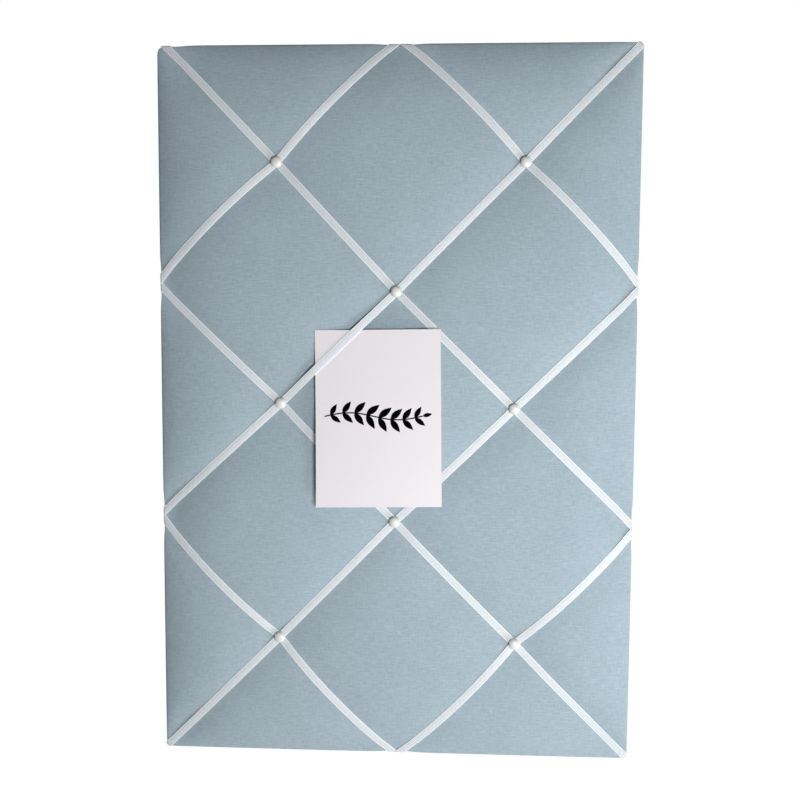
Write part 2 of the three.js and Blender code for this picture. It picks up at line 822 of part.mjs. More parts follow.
function edgePair(centre, half, level) {
  const left = centre.clone().add(half);
  const right = centre.clone().sub(half);
  return {
    left: new THREE.Vector3(left.x, level, left.y),
    right: new THREE.Vector3(right.x, level, right.y),
  };
}

// How far a ribbon stands off the side and the hem: two tails that cross there lie on each other
function tailStand(crossing, layer) {
  return GAP + (crossing.atCorner ? 0 : layer * (RIBBON_THICKNESS + GAP));
}

// A place on a tail that has travelled down the side and then in from the edge of the back
function tailPlace(crossing, out, downSide, inFromEdge) {
  const place = crossing.start.clone().addScaledVector(crossing.outward, out - inFromEdge);
  return place.addScaledVector(crossing.sideDrift, downSide).addScaledVector(crossing.backDrift, inFromEdge);
}

// The tail round the side, over the hem and down onto the panel's back
function tailPairs(crossing, layer) {
  const { half, hemReach } = crossing;
  const stand = tailStand(crossing, layer);
  const overHem = HEM_BACK + stand;
  const side = overHem - RIM_LEVEL;
  return [
    edgePair(tailPlace(crossing, stand, 0, 0), half, RIM_LEVEL),
    edgePair(tailPlace(crossing, stand, side, 0), half, overHem),
    edgePair(tailPlace(crossing, 0, side, hemReach), half, overHem),
    edgePair(tailPlace(crossing, 0, side, hemReach + TAIL_SLOPE), half, GAP),
    edgePair(tailPlace(crossing, 0, side, hemReach + TAIL_PAST_HEM), half, GAP),
  ];
}

// A staple across the tail, near its end
function stapleTail(name, crossing, layer) {
  const inFromEdge = crossing.hemReach + TAIL_PAST_HEM - STAPLE_FROM_TAIL_END;
  const side = HEM_BACK + tailStand(crossing, layer) - RIM_LEVEL;
  const place = tailPlace(crossing, 0, side, inFromEdge);
  const across = leftOf(crossing.backDrift.clone().sub(crossing.outward));
  addStaple(name, place.x, place.y, Math.atan2(-across.y, across.x), RIBBON_THICKNESS + 2 * GAP);
}

// Sweeps the flat section along the pairs of edge points, thick on the outer side
function ribbonGeometry(pairs) {
  const points = [];
  const triangles = [];
  const centres = pairs.map((pair) => pair.left.clone().add(pair.right).multiplyScalar(0.5));
  pairs.forEach((pair, i) => {
    const before = centres[Math.max(i - 1, 0)];
    const after = centres[Math.min(i + 1, centres.length - 1)];
    const here = centres[i];
    const tangent = here.clone().sub(before).normalize().add(after.clone().sub(here).normalize());
    const outer = tangent.cross(pair.left.clone().sub(pair.right)).setLength(RIBBON_THICKNESS);
    const corners = [pair.left, pair.right, pair.right.clone().add(outer), pair.left.clone().add(outer)];
    points.push(...corners.map((corner) => corner.toArray()));
  });
  for (let i = 1; i < pairs.length; i += 1) {
    const near = (i - 1) * SECTION_CORNERS;
    const far = i * SECTION_CORNERS;
    for (let k = 0; k < SECTION_CORNERS; k += 1) {
      const next = (k + 1) % SECTION_CORNERS;
      triangles.push([near + k, far + k, far + next], [near + k, far + next, near + next]);
    }
  }
  const last = (pairs.length - 1) * SECTION_CORNERS;
  triangles.push([0, 1, 2], [0, 2, 3], [last, last + 2, last + 1], [last, last + 3, last + 2]);
  return closedMesh(points, triangles);
}

function swapped(pair) {
  return { left: pair.right, right: pair.left };
}

function turned(station) {
  return { ...station, half: station.half.clone().negate() };
}

let tailCount = 0;

function layRibbon(ribbon, layer) {
  const points = ribbon.nodes.map((node) => node.point);
  const firstNail = points[1];
  const lastNail = points.at(-2);
  const startCrossing = rimCrossing(firstNail, ribbon.nodes[0], ribbon.bow);
  const endCrossing = rimCrossing(lastNail, ribbon.nodes.at(-1), ribbon.bow);
  const stations = stationsToRim(startCrossing).map(turned).reverse();
  for (let i = 2; i < points.length - 1; i += 1) {
    stations.pop();
    stations.push(...stationsBetweenNails(points[i - 1], points[i]));
  }
  stations.pop();
  stations.push(...stationsToRim(endCrossing));
  layOnRelief(stations, GAP);
  const onFace = stations.map((s) => edgePair(s.centre, s.half, PANEL_FRONT - s.height));
  const startTail = tailPairs(startCrossing, layer).map(swapped).reverse();
  const pairs = [...startTail, ...onFace, ...tailPairs(endCrossing, layer)];
  for (const crossing of [startCrossing, endCrossing]) {
    tailCount += 1;
    stapleTail(`tail_staple_${tailCount}`, crossing, layer);
  }
  const tops = stations.map((s) => {
    const left = s.centre.clone().add(s.half);
    const right = s.centre.clone().sub(s.half);
    const height = s.height + RIBBON_THICKNESS;
    return [{ x: left.x, z: left.y, height }, { x: right.x, z: right.y, height }];
  });
  for (let i = 1; i < tops.length; i += 1) {
    addToRelief(tops[i - 1][0], tops[i - 1][1], tops[i][1]);
    addToRelief(tops[i - 1][0], tops[i][1], tops[i][0]);
  }
  const holes = nailHoles(points.slice(1, -1));
  addPiece(ribbon.name, cutAway(ribbonGeometry(pairs), holes), satin);
}

// Dome-headed nails

function nailGeometry(seat) {
  const shank = SHANK_DIAMETER / 2;
  const head = HEAD_DIAMETER / 2;
  const tip = SHANK_STOP - PANEL_THICKNESS - seat;
  const outside = quarterArc(head, HEAD_HEIGHT, DOME_STEPS);
  const inside = quarterArc(head - HEAD_WALL, HEAD_HEIGHT - HEAD_WALL, HOLLOW_STEPS).reverse();
  inside[0].x = shank;
  const point = [new THREE.Vector2(0, tip), new THREE.Vector2(shank, tip + SHANK_POINT)];
  return new THREE.LatheGeometry([...point, ...inside, ...outside], ROUND_SIDES).rotateX(Math.PI);
}

const SEAT_TURNS = 24;
const SEAT_SHARES = [0.6, 0.8, 1];

// A head's rim rests on the highest thing under it
function nailSeat(point) {
  let seat = -Infinity;
  for (let i = 0; i < SEAT_TURNS; i += 1) {
    const angle = (i / SEAT_TURNS) * 2 * Math.PI;
    for (const share of SEAT_SHARES) {
      const reach = (share * HEAD_DIAMETER) / 2;
      seat = Math.max(seat, reliefAt(point.x + reach * Math.cos(angle), point.y + reach * Math.sin(angle)));
    }
  }
  return seat + GAP;
}

function addNail(point) {
  const seat = nailSeat(point);
  const nail = addPiece(`nail_${nailPoints.indexOf(point) + 1}`, nailGeometry(seat), pearl);
  nail.position.set(point.x, PANEL_FRONT - seat, point.y);
  const half = HEAD_DIAMETER / 2;
  const height = seat + HEAD_HEIGHT;
  const corners = CORNERS.map(([sx, sz]) => ({ x: point.x + sx * half, z: point.y + sz * half, height }));
  addToRelief(corners[0], corners[1], corners[2]);
  addToRelief(corners[0], corners[2], corners[3]);
}

// Card: it lies on whatever is under it and under its way out, tilted so that it leaves the board

const OUT_WAY = new THREE.Vector2(1, -1).normalize();
const CARD_SAMPLES = 24;
const CARD_MOVES = 6;

function cardCorner(acrossShare, upShare) {
  const place = new THREE.Vector2((acrossShare * CARD_WIDTH) / 2, (upShare * CARD_HEIGHT) / 2);
  return place.rotateAround(new THREE.Vector2(), CARD_TURN).add(new THREE.Vector2(CARD_X, CARD_Z));
}

function tiltAt(place) {
  const fromMiddle = place.clone().sub(new THREE.Vector2(CARD_X, CARD_Z));
  return fromMiddle.dot(OUT_WAY) * Math.tan(CARD_TILT);
}

function cardSeat() {
  let seat = -Infinity;
  for (let m = 0; m <= CARD_MOVES; m += 1) {
    const moved = OUT_WAY.clone().multiplyScalar((m / CARD_MOVES) * CARD_TRAVEL);
    for (let i = 0; i <= CARD_SAMPLES; i += 1) {
      for (let j = 0; j <= CARD_SAMPLES; j += 1) {
        const place = cardCorner((2 * i) / CARD_SAMPLES - 1, (2 * j) / CARD_SAMPLES - 1).add(moved);
        seat = Math.max(seat, reliefAt(place.x, place.y) - tiltAt(place));
      }
    }
  }
  return seat + GAP;
}

function addCard() {
  const seat = cardSeat();
  const corners = CORNERS.map(([sx, sz]) => cardCorner(sx, sz));
  const back = corners.map((c) => ({ x: c.x, z: c.y, height: seat + tiltAt(c) }));
  const front = back.map((c) => ({ ...c, height: c.height + CARD_THICKNESS }));
  const points = [...front, ...back].map((c) => [c.x, PANEL_FRONT - c.height, c.z]);
  const triangles = [[0, 1, 2], [0, 2, 3], [4, 6, 5], [4, 7, 6]];
  const count = corners.length;
  for (let k = 0; k < count; k += 1) {
    const next = (k + 1) % count;
    triangles.push([k, k + count, next + count], [k, next + count, next]);
  }
  addToRelief(front[0], front[1], front[2]);
  addToRelief(front[0], front[2], front[3]);
  addPiece('card', closedMesh(points, triangles), stock);
}

// Ring hangers

const EYE_BORE = RING_WIRE / 2 + GAP;
const EYE_RADIUS = EYE_BORE + STRAP_THICKNESS;
const EYE_LEVEL = GAP + EYE_RADIUS;
const SCREW_HOLE = SCREW_DIAMETER + 2 * GAP;

// Turns a drawing's X, Y and depth into the board's Y, Z and X
const sideways = new THREE.Matrix4().makeBasis(
  new THREE.Vector3(0, 1, 0),
  new THREE.Vector3(0, 0, 1),
  new THREE.Vector3(1, 0, 0),
);

// A strip with a rounded lower end that curls into an eye at its top
function strapGeometry() {
  const half = STRAP_WIDTH / 2;
  const outline = new THREE.Shape();
  outline.moveTo(-half, 0);
  outline.lineTo(-half, half - STRAP_LENGTH);
  outline.absarc(0, half - STRAP_LENGTH, half, Math.PI, 2 * Math.PI, false);
  outline.lineTo(half, 0);
  outline.closePath();
  const strip = new THREE.ExtrudeGeometry(outline, {
    depth: STRAP_THICKNESS,
    bevelEnabled: false,
    curveSegments: CURVE_SEGMENTS,
  });
  strip.rotateX(Math.PI / 2).translate(0, GAP + STRAP_THICKNESS, 0);
  const curl = new THREE.Shape();
  curl.absarc(0, 0, EYE_RADIUS, 0, 2 * Math.PI, false);
  const bore = new THREE.Path();
  bore.absarc(0, 0, EYE_BORE, 0, 2 * Math.PI, false);
  curl.holes.push(bore);
  const eye = new THREE.ExtrudeGeometry(curl, {
    depth: STRAP_WIDTH,
    bevelEnabled: false,
    curveSegments: CURVE_SEGMENTS,
  });
  eye.translate(0, 0, -half).applyMatrix4(sideways).translate(0, EYE_LEVEL, 0);
  const hole = rodAlongY(0, -SCREW_FROM_EYE, SCREW_HOLE, -EYE_RADIUS, EYE_RADIUS, SCREW_HOLE_SIDES);
  return toGeometry(toSolid(strip).add(toSolid(eye)).subtract(toSolid(hole)));
}

// A D-shaped ring of round wire: a straight bar in the eye and a half circle that hangs below it
function ringGeometry() {
  const path = [];
  const bar = RING_RADIUS - RING_BEND;
  const bendSteps = 4;
  const arcSteps = 14;
  for (let i = 0; i < bendSteps; i += 1) {
    const angle = Math.PI / 2 - ((i / bendSteps) * Math.PI) / 2;
    path.push([bar + RING_BEND * Math.cos(angle), -RING_BEND + RING_BEND * Math.sin(angle)]);
  }
  for (let i = 0; i <= arcSteps; i += 1) {
    const angle = -(i / arcSteps) * Math.PI;
    path.push([RING_RADIUS * Math.cos(angle), -RING_BEND + RING_RADIUS * Math.sin(angle)]);
  }
  for (let i = 1; i <= bendSteps; i += 1) {
    const angle = Math.PI - ((i / bendSteps) * Math.PI) / 2;
    path.push([-bar + RING_BEND * Math.cos(angle), -RING_BEND + RING_BEND * Math.sin(angle)]);
  }
  const sides = 8;
  const points = [];
  const triangles = [];
  path.forEach(([x, z], i) => {
    const before = path[(i + path.length - 1) % path.length];
    const after = path[(i + 1) % path.length];
    const tangent = new THREE.Vector2(after[0] - before[0], after[1] - before[1]).normalize();
    const inPlane = leftOf(tangent);
    for (let k = 0; k < sides; k += 1) {
      const angle = (k / sides) * 2 * Math.PI;
      const side = (RING_WIRE / 2) * Math.cos(angle);
      const out = (RING_WIRE / 2) * Math.sin(angle);
      points.push([x + inPlane.x * side, out, z + inPlane.y * side]);
      const next = (k + 1) % sides;
      const far = ((i + 1) % path.length) * sides;
      triangles.push([i * sides + k, far + next, i * sides + next], [i * sides + k, far + k, far + next]);
    }
  });
  return closedMesh(points, triangles);
}

function screwGeometry() {
  const shank = SCREW_DIAMETER / 2;
  const head = SCREW_HEAD_DIAMETER / 2;
  const underHead = STRAP_THICKNESS + 2 * GAP;
  const tip = SCREW_STOP - PANEL_THICKNESS;
  const dome = quarterArc(head, SCREW_HEAD_HEIGHT - SCREW_HEAD_EDGE, HOLLOW_STEPS);
  const profile = [
    new THREE.Vector2(0, tip),
    new THREE.Vector2(shank, tip + SCREW_POINT),
    new THREE.Vector2(shank, underHead),
    new THREE.Vector2(head, underHead),
    ...dome.map((place) => new THREE.Vector2(place.x, underHead + SCREW_HEAD_EDGE + place.y)),
  ];
  const screw = new THREE.LatheGeometry(profile, ROUND_SIDES);
  const slotBottom = underHead + SCREW_HEAD_HEIGHT - SCREW_SLOT_DEPTH;
  const slots = [0, Math.PI / 2].map((turn) => {
    const slot = new THREE.BoxGeometry(SCREW_SLOT_LENGTH, 2 * SCREW_SLOT_DEPTH, SCREW_SLOT_WIDTH);
    return slot.rotateY(turn).translate(0, slotBottom + SCREW_SLOT_DEPTH, 0);
  });
  return cutAway(screw, slots);
}

const HANGERS = [['left', -HANGER_X], ['right', HANGER_X]];

function addHangers() {
  for (const [side, x] of HANGERS) {
    addPiece(`hanger_strap_${side}`, strapGeometry(), zinc).position.set(x, 0, HANGER_Z);
    addPiece(`hanger_ring_${side}`, ringGeometry(), zinc).position.set(x, EYE_LEVEL, HANGER_Z);
    const screw = addPiece(`hanger_screw_${side}`, screwGeometry(), zinc);
    screw.position.set(x, 0, HANGER_Z - SCREW_FROM_EYE);
  }
}

function screwHoles() {
  const depth = SCREW_STOP - PANEL_THICKNESS - GAP;
  const z = HANGER_Z - SCREW_FROM_EYE;
  return HANGERS.map(([, x]) => rodAlongY(x, z, SCREW_HOLE, depth, GAP, SCREW_HOLE_SIDES));
}

// Assembly, from the layers below to what lies on them

const cardRibbon = risingRibbons.find((ribbon) => ribbon.name === CARD_RIBBON);
const cardRibbonPoints = cardRibbon.nodes.map((node) => node.point);
const onCardRibbon = (point) => cardRibbonPoints.some((place) => place.distanceTo(point) < SHANK_DIAMETER);

addHemStaples();
const hemHoles = staples.flatMap(stapleHoles);
addPiece('cloth_cover', cutAway(clothGeometry(), [...nailHoles(nailPoints), ...hemHoles]), linen);
addPiece('wadding', cutAway(waddingGeometry(), nailHoles(nailPoints)), fleece);
for (const ribbon of fallingRibbons) {
  layRibbon(ribbon, 0);
}
for (const ribbon of risingRibbons.filter((r) => r !== cardRibbon)) {
  layRibbon(ribbon, 1);
}
nailPoints.filter((point) => !onCardRibbon(point)).forEach(addNail);
addCard();
layRibbon(cardRibbon, 1);
nailPoints.filter(onCardRibbon).forEach(addNail);
addHangers();
const panelHoles = [...nailHoles(nailPoints), ...staples.flatMap(stapleHoles), ...screwHoles()];
addPiece('panel', cutAway(panelGeometry(), panelHoles), fibreboard);
for (const staple of staples) {
  const piece = addPiece(staple.name, stapleGeometry(), steel);
  piece.position.set(staple.x, staple.crownLevel, staple.z);
  piece.rotation.y = staple.angle;
}

export default board;
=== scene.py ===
"""A French memo board: padded cloth crossed by satin ribbons, with dome-headed nails and a tucked-in card.

Metres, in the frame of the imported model: X to the viewer's right, Z up, and the board faces -Y.
Places are pairs of X and Z in the board's plane, and levels run along Y.
"""

import json
import math

import bpy
import numpy as np
from mathutils import Matrix, Vector
from mathutils.bvhtree import BVHTree


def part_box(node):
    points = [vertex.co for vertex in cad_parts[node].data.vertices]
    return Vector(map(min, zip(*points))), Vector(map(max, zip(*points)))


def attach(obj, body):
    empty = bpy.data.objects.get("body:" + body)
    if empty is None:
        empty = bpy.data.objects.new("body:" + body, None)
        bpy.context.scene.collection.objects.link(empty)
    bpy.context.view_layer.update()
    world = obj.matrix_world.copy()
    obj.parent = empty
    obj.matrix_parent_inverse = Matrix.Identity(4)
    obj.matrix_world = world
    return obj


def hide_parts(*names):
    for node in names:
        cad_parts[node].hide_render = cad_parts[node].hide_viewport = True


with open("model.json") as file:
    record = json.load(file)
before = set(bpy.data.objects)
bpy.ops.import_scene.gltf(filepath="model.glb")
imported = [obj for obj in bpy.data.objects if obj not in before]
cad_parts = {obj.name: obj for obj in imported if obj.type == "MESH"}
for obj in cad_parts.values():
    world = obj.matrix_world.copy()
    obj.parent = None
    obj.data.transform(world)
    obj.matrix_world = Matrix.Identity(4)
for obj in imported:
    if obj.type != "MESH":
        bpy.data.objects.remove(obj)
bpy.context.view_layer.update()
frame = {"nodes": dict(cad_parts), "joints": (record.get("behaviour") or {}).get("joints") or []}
MM = 0.001

# Sizes of the board, from the frame
cover_low, cover_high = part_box("cloth_cover")
HALF_WIDTH = (cover_high[0] - cover_low[0]) / 2
HALF_HEIGHT = (cover_high[2] - cover_low[2]) / 2
HALF = np.array([HALF_WIDTH, HALF_HEIGHT])
HEM_BACK = cover_high[1]
PANEL_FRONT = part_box("panel")[0][1]

# Cloth and padding
CORNER_RADIUS = 5 * MM
CLOTH_THICKNESS = 0.8 * MM
HEM_WIDTH = 25 * MM
HEM_CORNER = 3 * MM
PAD_AT_NAILS = 3 * MM
PAD_UNDER_RIBBONS = 6.5 * MM
PAD_AT_CROWN = 13 * MM
PAD_AT_RIM = 1 * MM
DIMPLE_REACH = 20 * MM
FURROW_REACH = 18 * MM
FURROW_BED = 3 * MM
SHORT_RIBBON_PRESS = 0.45
RIM_FALL = 5.5 * MM
RIM_FALL_REACH = 32 * MM
RIM_REACH = 22 * MM
RIM_LEVEL = PANEL_FRONT - PAD_AT_RIM
RIM_DRAWN_IN = 0.8 * MM
DRAWN_IN_FROM = 9 * MM
DRAWN_IN_TO = 24 * MM
PRESS_GAP = 0.25 * MM
PRESS_SLOPE = 0.3
PRESS_ROUNDING = 0.3 * MM
WADDING_GAP = 0.4 * MM
WADDING_BACK = -0.4 * MM
POCKET_INSET = 4.1 * MM
SEAT_GAP = 0.3 * MM

# Cloth mesh: an even grid in the middle, then rings round the rim, the side and the back
GRID_STEP = 3.6 * MM
RIM_BAND = 24 * MM
RIM_TURNS = 10
FREE_RINGS = RIM_TURNS - 2
SIDE_LEVELS = [-7.5 * MM, -5 * MM, -2.5 * MM, -0.6 * MM]
BACK_EDGE = [(0.25 * MM, 0.6 * MM), (0.8 * MM, 1 * MM), (2 * MM, 1.1 * MM)]
HEM_STEPS = 7
HEM_FOLD_HEIGHT = 0.9 * MM
HEM_FOLD_REACH = 16 * MM

# Flat pattern that the weave follows
FLAT_MIDDLE = 0.5
THREAD_PITCH = 0.62 * MM

# Swelling of the padded face
SWELL_SHARE = 0.9
SWELL_FRAMES = 20
SWELL_QUALITY = 5
SWELL_PRESSURE = 4
SWELL_LIMIT = 3 * MM
LEAST_SWELL = 1e-12
HOLD_REACH = 6 * MM

# Ribbons
RIBBON_WIDTH = 6.2 * MM
RIBBON_THICKNESS = 0.5 * MM
RIBBON_STEP = 2 * MM
RIBBON_CLEARANCE = 0.06 * MM
RIBBON_SINK = 0.2 * MM
LEAN_ROUNDS = 12
CROSSING_PAST_RIM = 3.5 * MM
BEND_REACH = 3 * MM
CORNER_RIBBON_BOW = 2.5 * MM
TAIL_PAST_HEM = 18 * MM
TAIL_SLOPE = 4 * MM
TAIL_STEPS = 6
TAIL_GAP = 0.1 * MM
SKEW_FROM = 33 * MM
SKEW_TO = 16 * MM
ACROSS = np.linspace(-1, 1, 5)
QUARTERS = np.array([0.25, 0.5, 0.75, 1])

# Section of a ribbon: place across from edge to edge, and height as a share of the thickness
RIBBON_SECTION = [
    (-1, 0.3), (-0.95, 1), (-0.88, 0.92), (-0.82, 0.66), (-0.74, 0.84), (-0.35, 0.97),
    (0, 1), (0.35, 0.97), (0.74, 0.84), (0.82, 0.66), (0.88, 0.92), (0.95, 1), (1, 0.3),
    (0.94, 0), (0, 0), (-0.94, 0),
]

# Places in the ribbon pattern, as columns and rows in half diamonds from the middle
DIAMONDS_ACROSS = 2
DIAMONDS_DOWN = 3
NAIL_CELLS = [(-1, 2), (1, 2), (0, 1), (-1, 0), (1, 0), (0, -1), (-1, -2), (1, -2)]

# How far each listed ribbon end lies from its even place on the rim
END_SHIFTS = {
    (-2, 3): (7.4 * MM, 0),
    (0, 3): (2.4 * MM, 1.5 * MM),
    (-2, 1): (0, 4.7 * MM),
    (-2, -1): (0, 5.7 * MM),
    (2, 1): (0, 2.1 * MM),
    (2, -1): (0, -0.4 * MM),
    (0, -3): (2 * MM, 0),
}
CARD_RIBBON = "rising_ribbon_2"

# Level that rays onto the board start from
RAY_START = -0.2

# Nails
HEAD_RADIUS = 4.7 * MM
HEAD_HEIGHT = 3.6 * MM
HEAD_WALL = 0.8 * MM
HEAD_SKIRT = 0.45 * MM
SKIRT_ROLL = 0.6
DOME_FULLNESS = 0.82
DOME_STEPS = 14
HOLLOW_STEPS = 6
SHANK_RADIUS = 0.8 * MM
SHANK_POINT = 3 * MM
NAIL_SIDES = 48

# Staples
STAPLE_WIDTH = 10 * MM
STAPLE_LEG = 6 * MM
STAPLE_WIRE_WIDTH = 1.2 * MM
STAPLE_WIRE_THICKNESS = 0.6 * MM
STAPLE_WIRE_EDGE = 0.18
STAPLE_SHOULDER = 1 * MM
SHOULDER_STEPS = 6
STAPLE_FROM_TAIL_END = 6 * MM
EXTRA_STAPLES_ACROSS = [-165 * MM, -135 * MM, -75 * MM, 75 * MM, 135 * MM, 165 * MM]
EXTRA_STAPLES_UP = [-275 * MM, -240 * MM, -160 * MM, -40 * MM, 40 * MM, 160 * MM, 240 * MM, 275 * MM]

# Hangers
RING_WIRE_RADIUS = 1 * MM
RING_RADIUS = 9 * MM
RING_BEND = 2.2 * MM
RING_BEND_STEPS = 8
RING_BOW_STEPS = 40
RING_SIDES = 16
HANGER_SOFTNESS = 0.15 * MM
SHARP_ANGLE = math.radians(35)

# Card and its printed sprig
CARD_THICKNESS = 0.4 * MM
CARD_COLUMNS = 22
CARD_ROWS = 30
CARD_STOPS = 9
CARD_SHARP_ANGLE = math.radians(40)
CARD_BOW = 0.6 * MM
CARD_LEFT_LIFT = 6.5 * MM
CARD_RIGHT_LIFT = 1.2 * MM
INK_LIFT = 0.02 * MM
INK_THICKNESS = 0.04 * MM
SPRIG_LENGTH = 82 * MM
SPRIG_RISE = 3 * MM
SPRIG_MIDDLE = (-4 * MM, 2 * MM)
SPRIG_LEAVES = 8
STEM_WIDTH = 1.1 * MM
STEM_STEPS = 24
STEM_NUDGE = 0.01
FIRST_LEAF = 0.06
LAST_LEAF = 0.92
LEAF_LENGTH = 14 * MM
LEAF_WIDTH = 5.6 * MM
LEAF_LEAN = math.radians(48)
LEAF_STEPS = 8
LEAF_FULLNESS = 0.85
OUTER_LEAF = 0.72
TIP_LEAF = 0.6

# Camera, whose roll turns the picture clockwise
CAMERA_PLACE = Vector((0.0456, -0.8498, 0.0761))
CAMERA_AIM = Vector((0.0035, -0.0100, 0.0069))
CAMERA_ROLL = math.radians(0.309)
CAMERA_LENS = 45
CAMERA_SENSOR = 36

# Floor and light, with each lamp's place, size and power
FLOOR_LEVEL = -2.6
FLOOR_RADIUS = 8
FLOOR_SIDES = 64
FLOOR_GLOW = 0.9
FILL_LIGHT = 0.1
LAMPS = {
    "key": (Vector((0.31, -0.82, -0.14)), 0.3, 6.35),
    "slant": (Vector((2.1, -1.05, -1.8)), 1.35, 55),
    "back": (Vector((-0.7, 1.1, 0.6)), 1.4, 14),
}


def smooth_step(value):
    share = np.clip(value, 0, 1)
    return share * share * (3 - 2 * share)


def unit(way):
    return way / np.linalg.norm(way)


def left_of(direction):
    return np.array([-direction[1], direction[0]])


def circle(sides):
    """Points round a circle with a radius of 1, anticlockwise."""
    angles = 2 * math.pi * np.arange(sides) / sides
    return np.column_stack([np.cos(angles), np.sin(angles)])


def in_space(places, levels):
    """Points from places in the board's plane and from a level for each, or one for all."""
    return np.column_stack([places[:, 0], np.broadcast_to(levels, len(places)), places[:, 1]])


def run_along(points):
    """How far along a line each of its points lies."""
    return np.concatenate([[0], np.cumsum(np.linalg.norm(np.diff(points, axis=0), axis=1))])


# Ribbon pattern

def box_middle(node):
    low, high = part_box(node)
    return np.array([(low[0] + high[0]) / 2, (low[2] + high[2]) / 2])


NAIL_PLACES = {cell: box_middle(f"nail_{i + 1}") for i, cell in enumerate(NAIL_CELLS)}
RIM_ENDS = {}


class RimEnd:
    """A ribbon's end on the rim, the rim's outward direction there, and how it lies to a corner."""

    def __init__(self, cell):
        shift = np.array(END_SHIFTS.get(cell, (0, 0)))
        last_cell = np.array([DIAMONDS_ACROSS, DIAMONDS_DOWN])
        on_rim = np.abs(cell) == last_cell
        at_rim = on_rim & (np.abs(shift) < CORNER_RADIUS)
        self.place = cell * HALF / last_cell + shift
        if not on_rim.all():
            self.place += CROSSING_PAST_RIM * np.sign(cell) * on_rim
        self.outward = unit(np.sign(cell) * at_rim)
        self.at_corner = at_rim.all()
        self.off_corner = on_rim.all() and not at_rim.all()


class Stretch:
    """A stretch of ribbon from a nail to the rim, which bows away from the board's middle."""

    def __init__(self, nail, end, bow):
        self.nail = nail
        self.way = end - nail
        aside = left_of(unit(self.way)) * bow
        self.aside = -aside if aside @ nail < 0 else aside

    def places_at(self, shares):
        share = shares[:, None]
        return self.nail + self.way * share + self.aside * 4 * share * (1 - share)

    def directions_at(self, shares):
        ways = self.way + self.aside * (4 - 8 * shares[:, None])
        return ways / np.linalg.norm(ways, axis=1)[:, None]


class Ribbon:
    """A ribbon from one end on the rim over its nails to the other end. Layer 1 lies over layer 0."""

    def __init__(self, name, cells, layer):
        self.name = name
        self.layer = layer
        for cell in (cells[0], cells[-1]):
            RIM_ENDS.setdefault(cell, RimEnd(cell))
        self.start = RIM_ENDS[cells[0]]
        self.end = RIM_ENDS[cells[-1]]
        self.nails = [NAIL_PLACES[cell] for cell in cells[1:-1]]
        self.bow = CORNER_RIBBON_BOW if len(self.nails) == 1 else 0

    def line(self):
        if self.bow == 0:
            return np.array([self.start.place, *self.nails, self.end.place])
        nail = self.nails[0]
        first = Stretch(nail, self.start.place, self.bow).places_at(QUARTERS)
        second = Stretch(nail, self.end.place, self.bow).places_at(QUARTERS)
        return np.vstack([first[::-1], nail, second])


def ribbon_family(prefix, step, layer):
    """Ribbons that go a column to the right for each row down, or to the left where the step is -1."""
    columns = range(DIAMONDS_ACROSS - 2, -DIAMONDS_ACROSS - 1, -2)
    starts = [(step * column, DIAMONDS_DOWN) for column in columns]
    starts += [(-step * DIAMONDS_ACROSS, row) for row in range(DIAMONDS_DOWN - 2, -DIAMONDS_DOWN, -2)]
    ribbons = []
    for i, (column, row) in enumerate(starts):
        cells = []
        while abs(column) <= DIAMONDS_ACROSS and abs(row) <= DIAMONDS_DOWN:
            cells.append((column, row))
            column += step
            row -= 1
        ribbons.append(Ribbon(f"{prefix}_{i + 1}", cells, layer))
    return ribbons


RIBBONS = ribbon_family("falling_ribbon", 1, layer=0) + ribbon_family("rising_ribbon", -1, layer=1)
RIBBON_LINES = [ribbon.line() for ribbon in RIBBONS]
RIBBON_PRESSES = np.array([[SHORT_RIBBON_PRESS if ribbon.bow else 1] for ribbon in RIBBONS])


def drawn_in(places):
    """Where places lie once the ribbons have drawn in the rim that they cross, apart from its corners."""
    moved = places.copy()
    for end in RIM_ENDS.values():
        if end.at_corner:
            continue
        distance = np.linalg.norm(places - end.place, axis=1)
        share = smooth_step((DRAWN_IN_TO - distance) / (DRAWN_IN_TO - DRAWN_IN_FROM))
        moved -= RIM_DRAWN_IN * share[:, None] * end.outward
    return moved


# Where the card lies

def vertex_points(mesh):
    points = np.empty(len(mesh.vertices) * 3)
    mesh.vertices.foreach_get("co", points)
    return points.reshape(-1, 3)


def card_corners():
    """The card's front corners as a 2 by 2 array: from left to right, and from the bottom up."""
    points = vertex_points(frame["nodes"]["card"].data)
    corners = np.empty((2, 2, 3))
    for i, side in enumerate((-1, 1)):
        for j, end in enumerate((-1, 1)):
            score = side * points[:, 0] + end * points[:, 2] - points[:, 1]
            corners[i, j] = points[np.argmax(score)]
    return corners


CARD_CORNERS = card_corners()
CARD_MIDDLE = CARD_CORNERS.reshape(4, 3).mean(axis=0)
CARD_WIDTH = np.linalg.norm(CARD_CORNERS[1, 0] - CARD_CORNERS[0, 0])
CARD_HEIGHT = np.linalg.norm(CARD_CORNERS[0, 1] - CARD_CORNERS[0, 0])
CARD_ACROSS = (CARD_CORNERS[1, 0] - CARD_CORNERS[0, 0]) / CARD_WIDTH
CARD_UP = (CARD_CORNERS[0, 1] - CARD_CORNERS[0, 0]) / CARD_HEIGHT
CARD_NORMAL = unit(np.cross(CARD_ACROSS, CARD_UP))
CARD_SLIDE = next(joint for joint in frame["joints"] if joint["name"] == "card_slide")
CARD_WAY_OUT = np.array(CARD_SLIDE["axis"]) * CARD_SLIDE["range_m"][1]


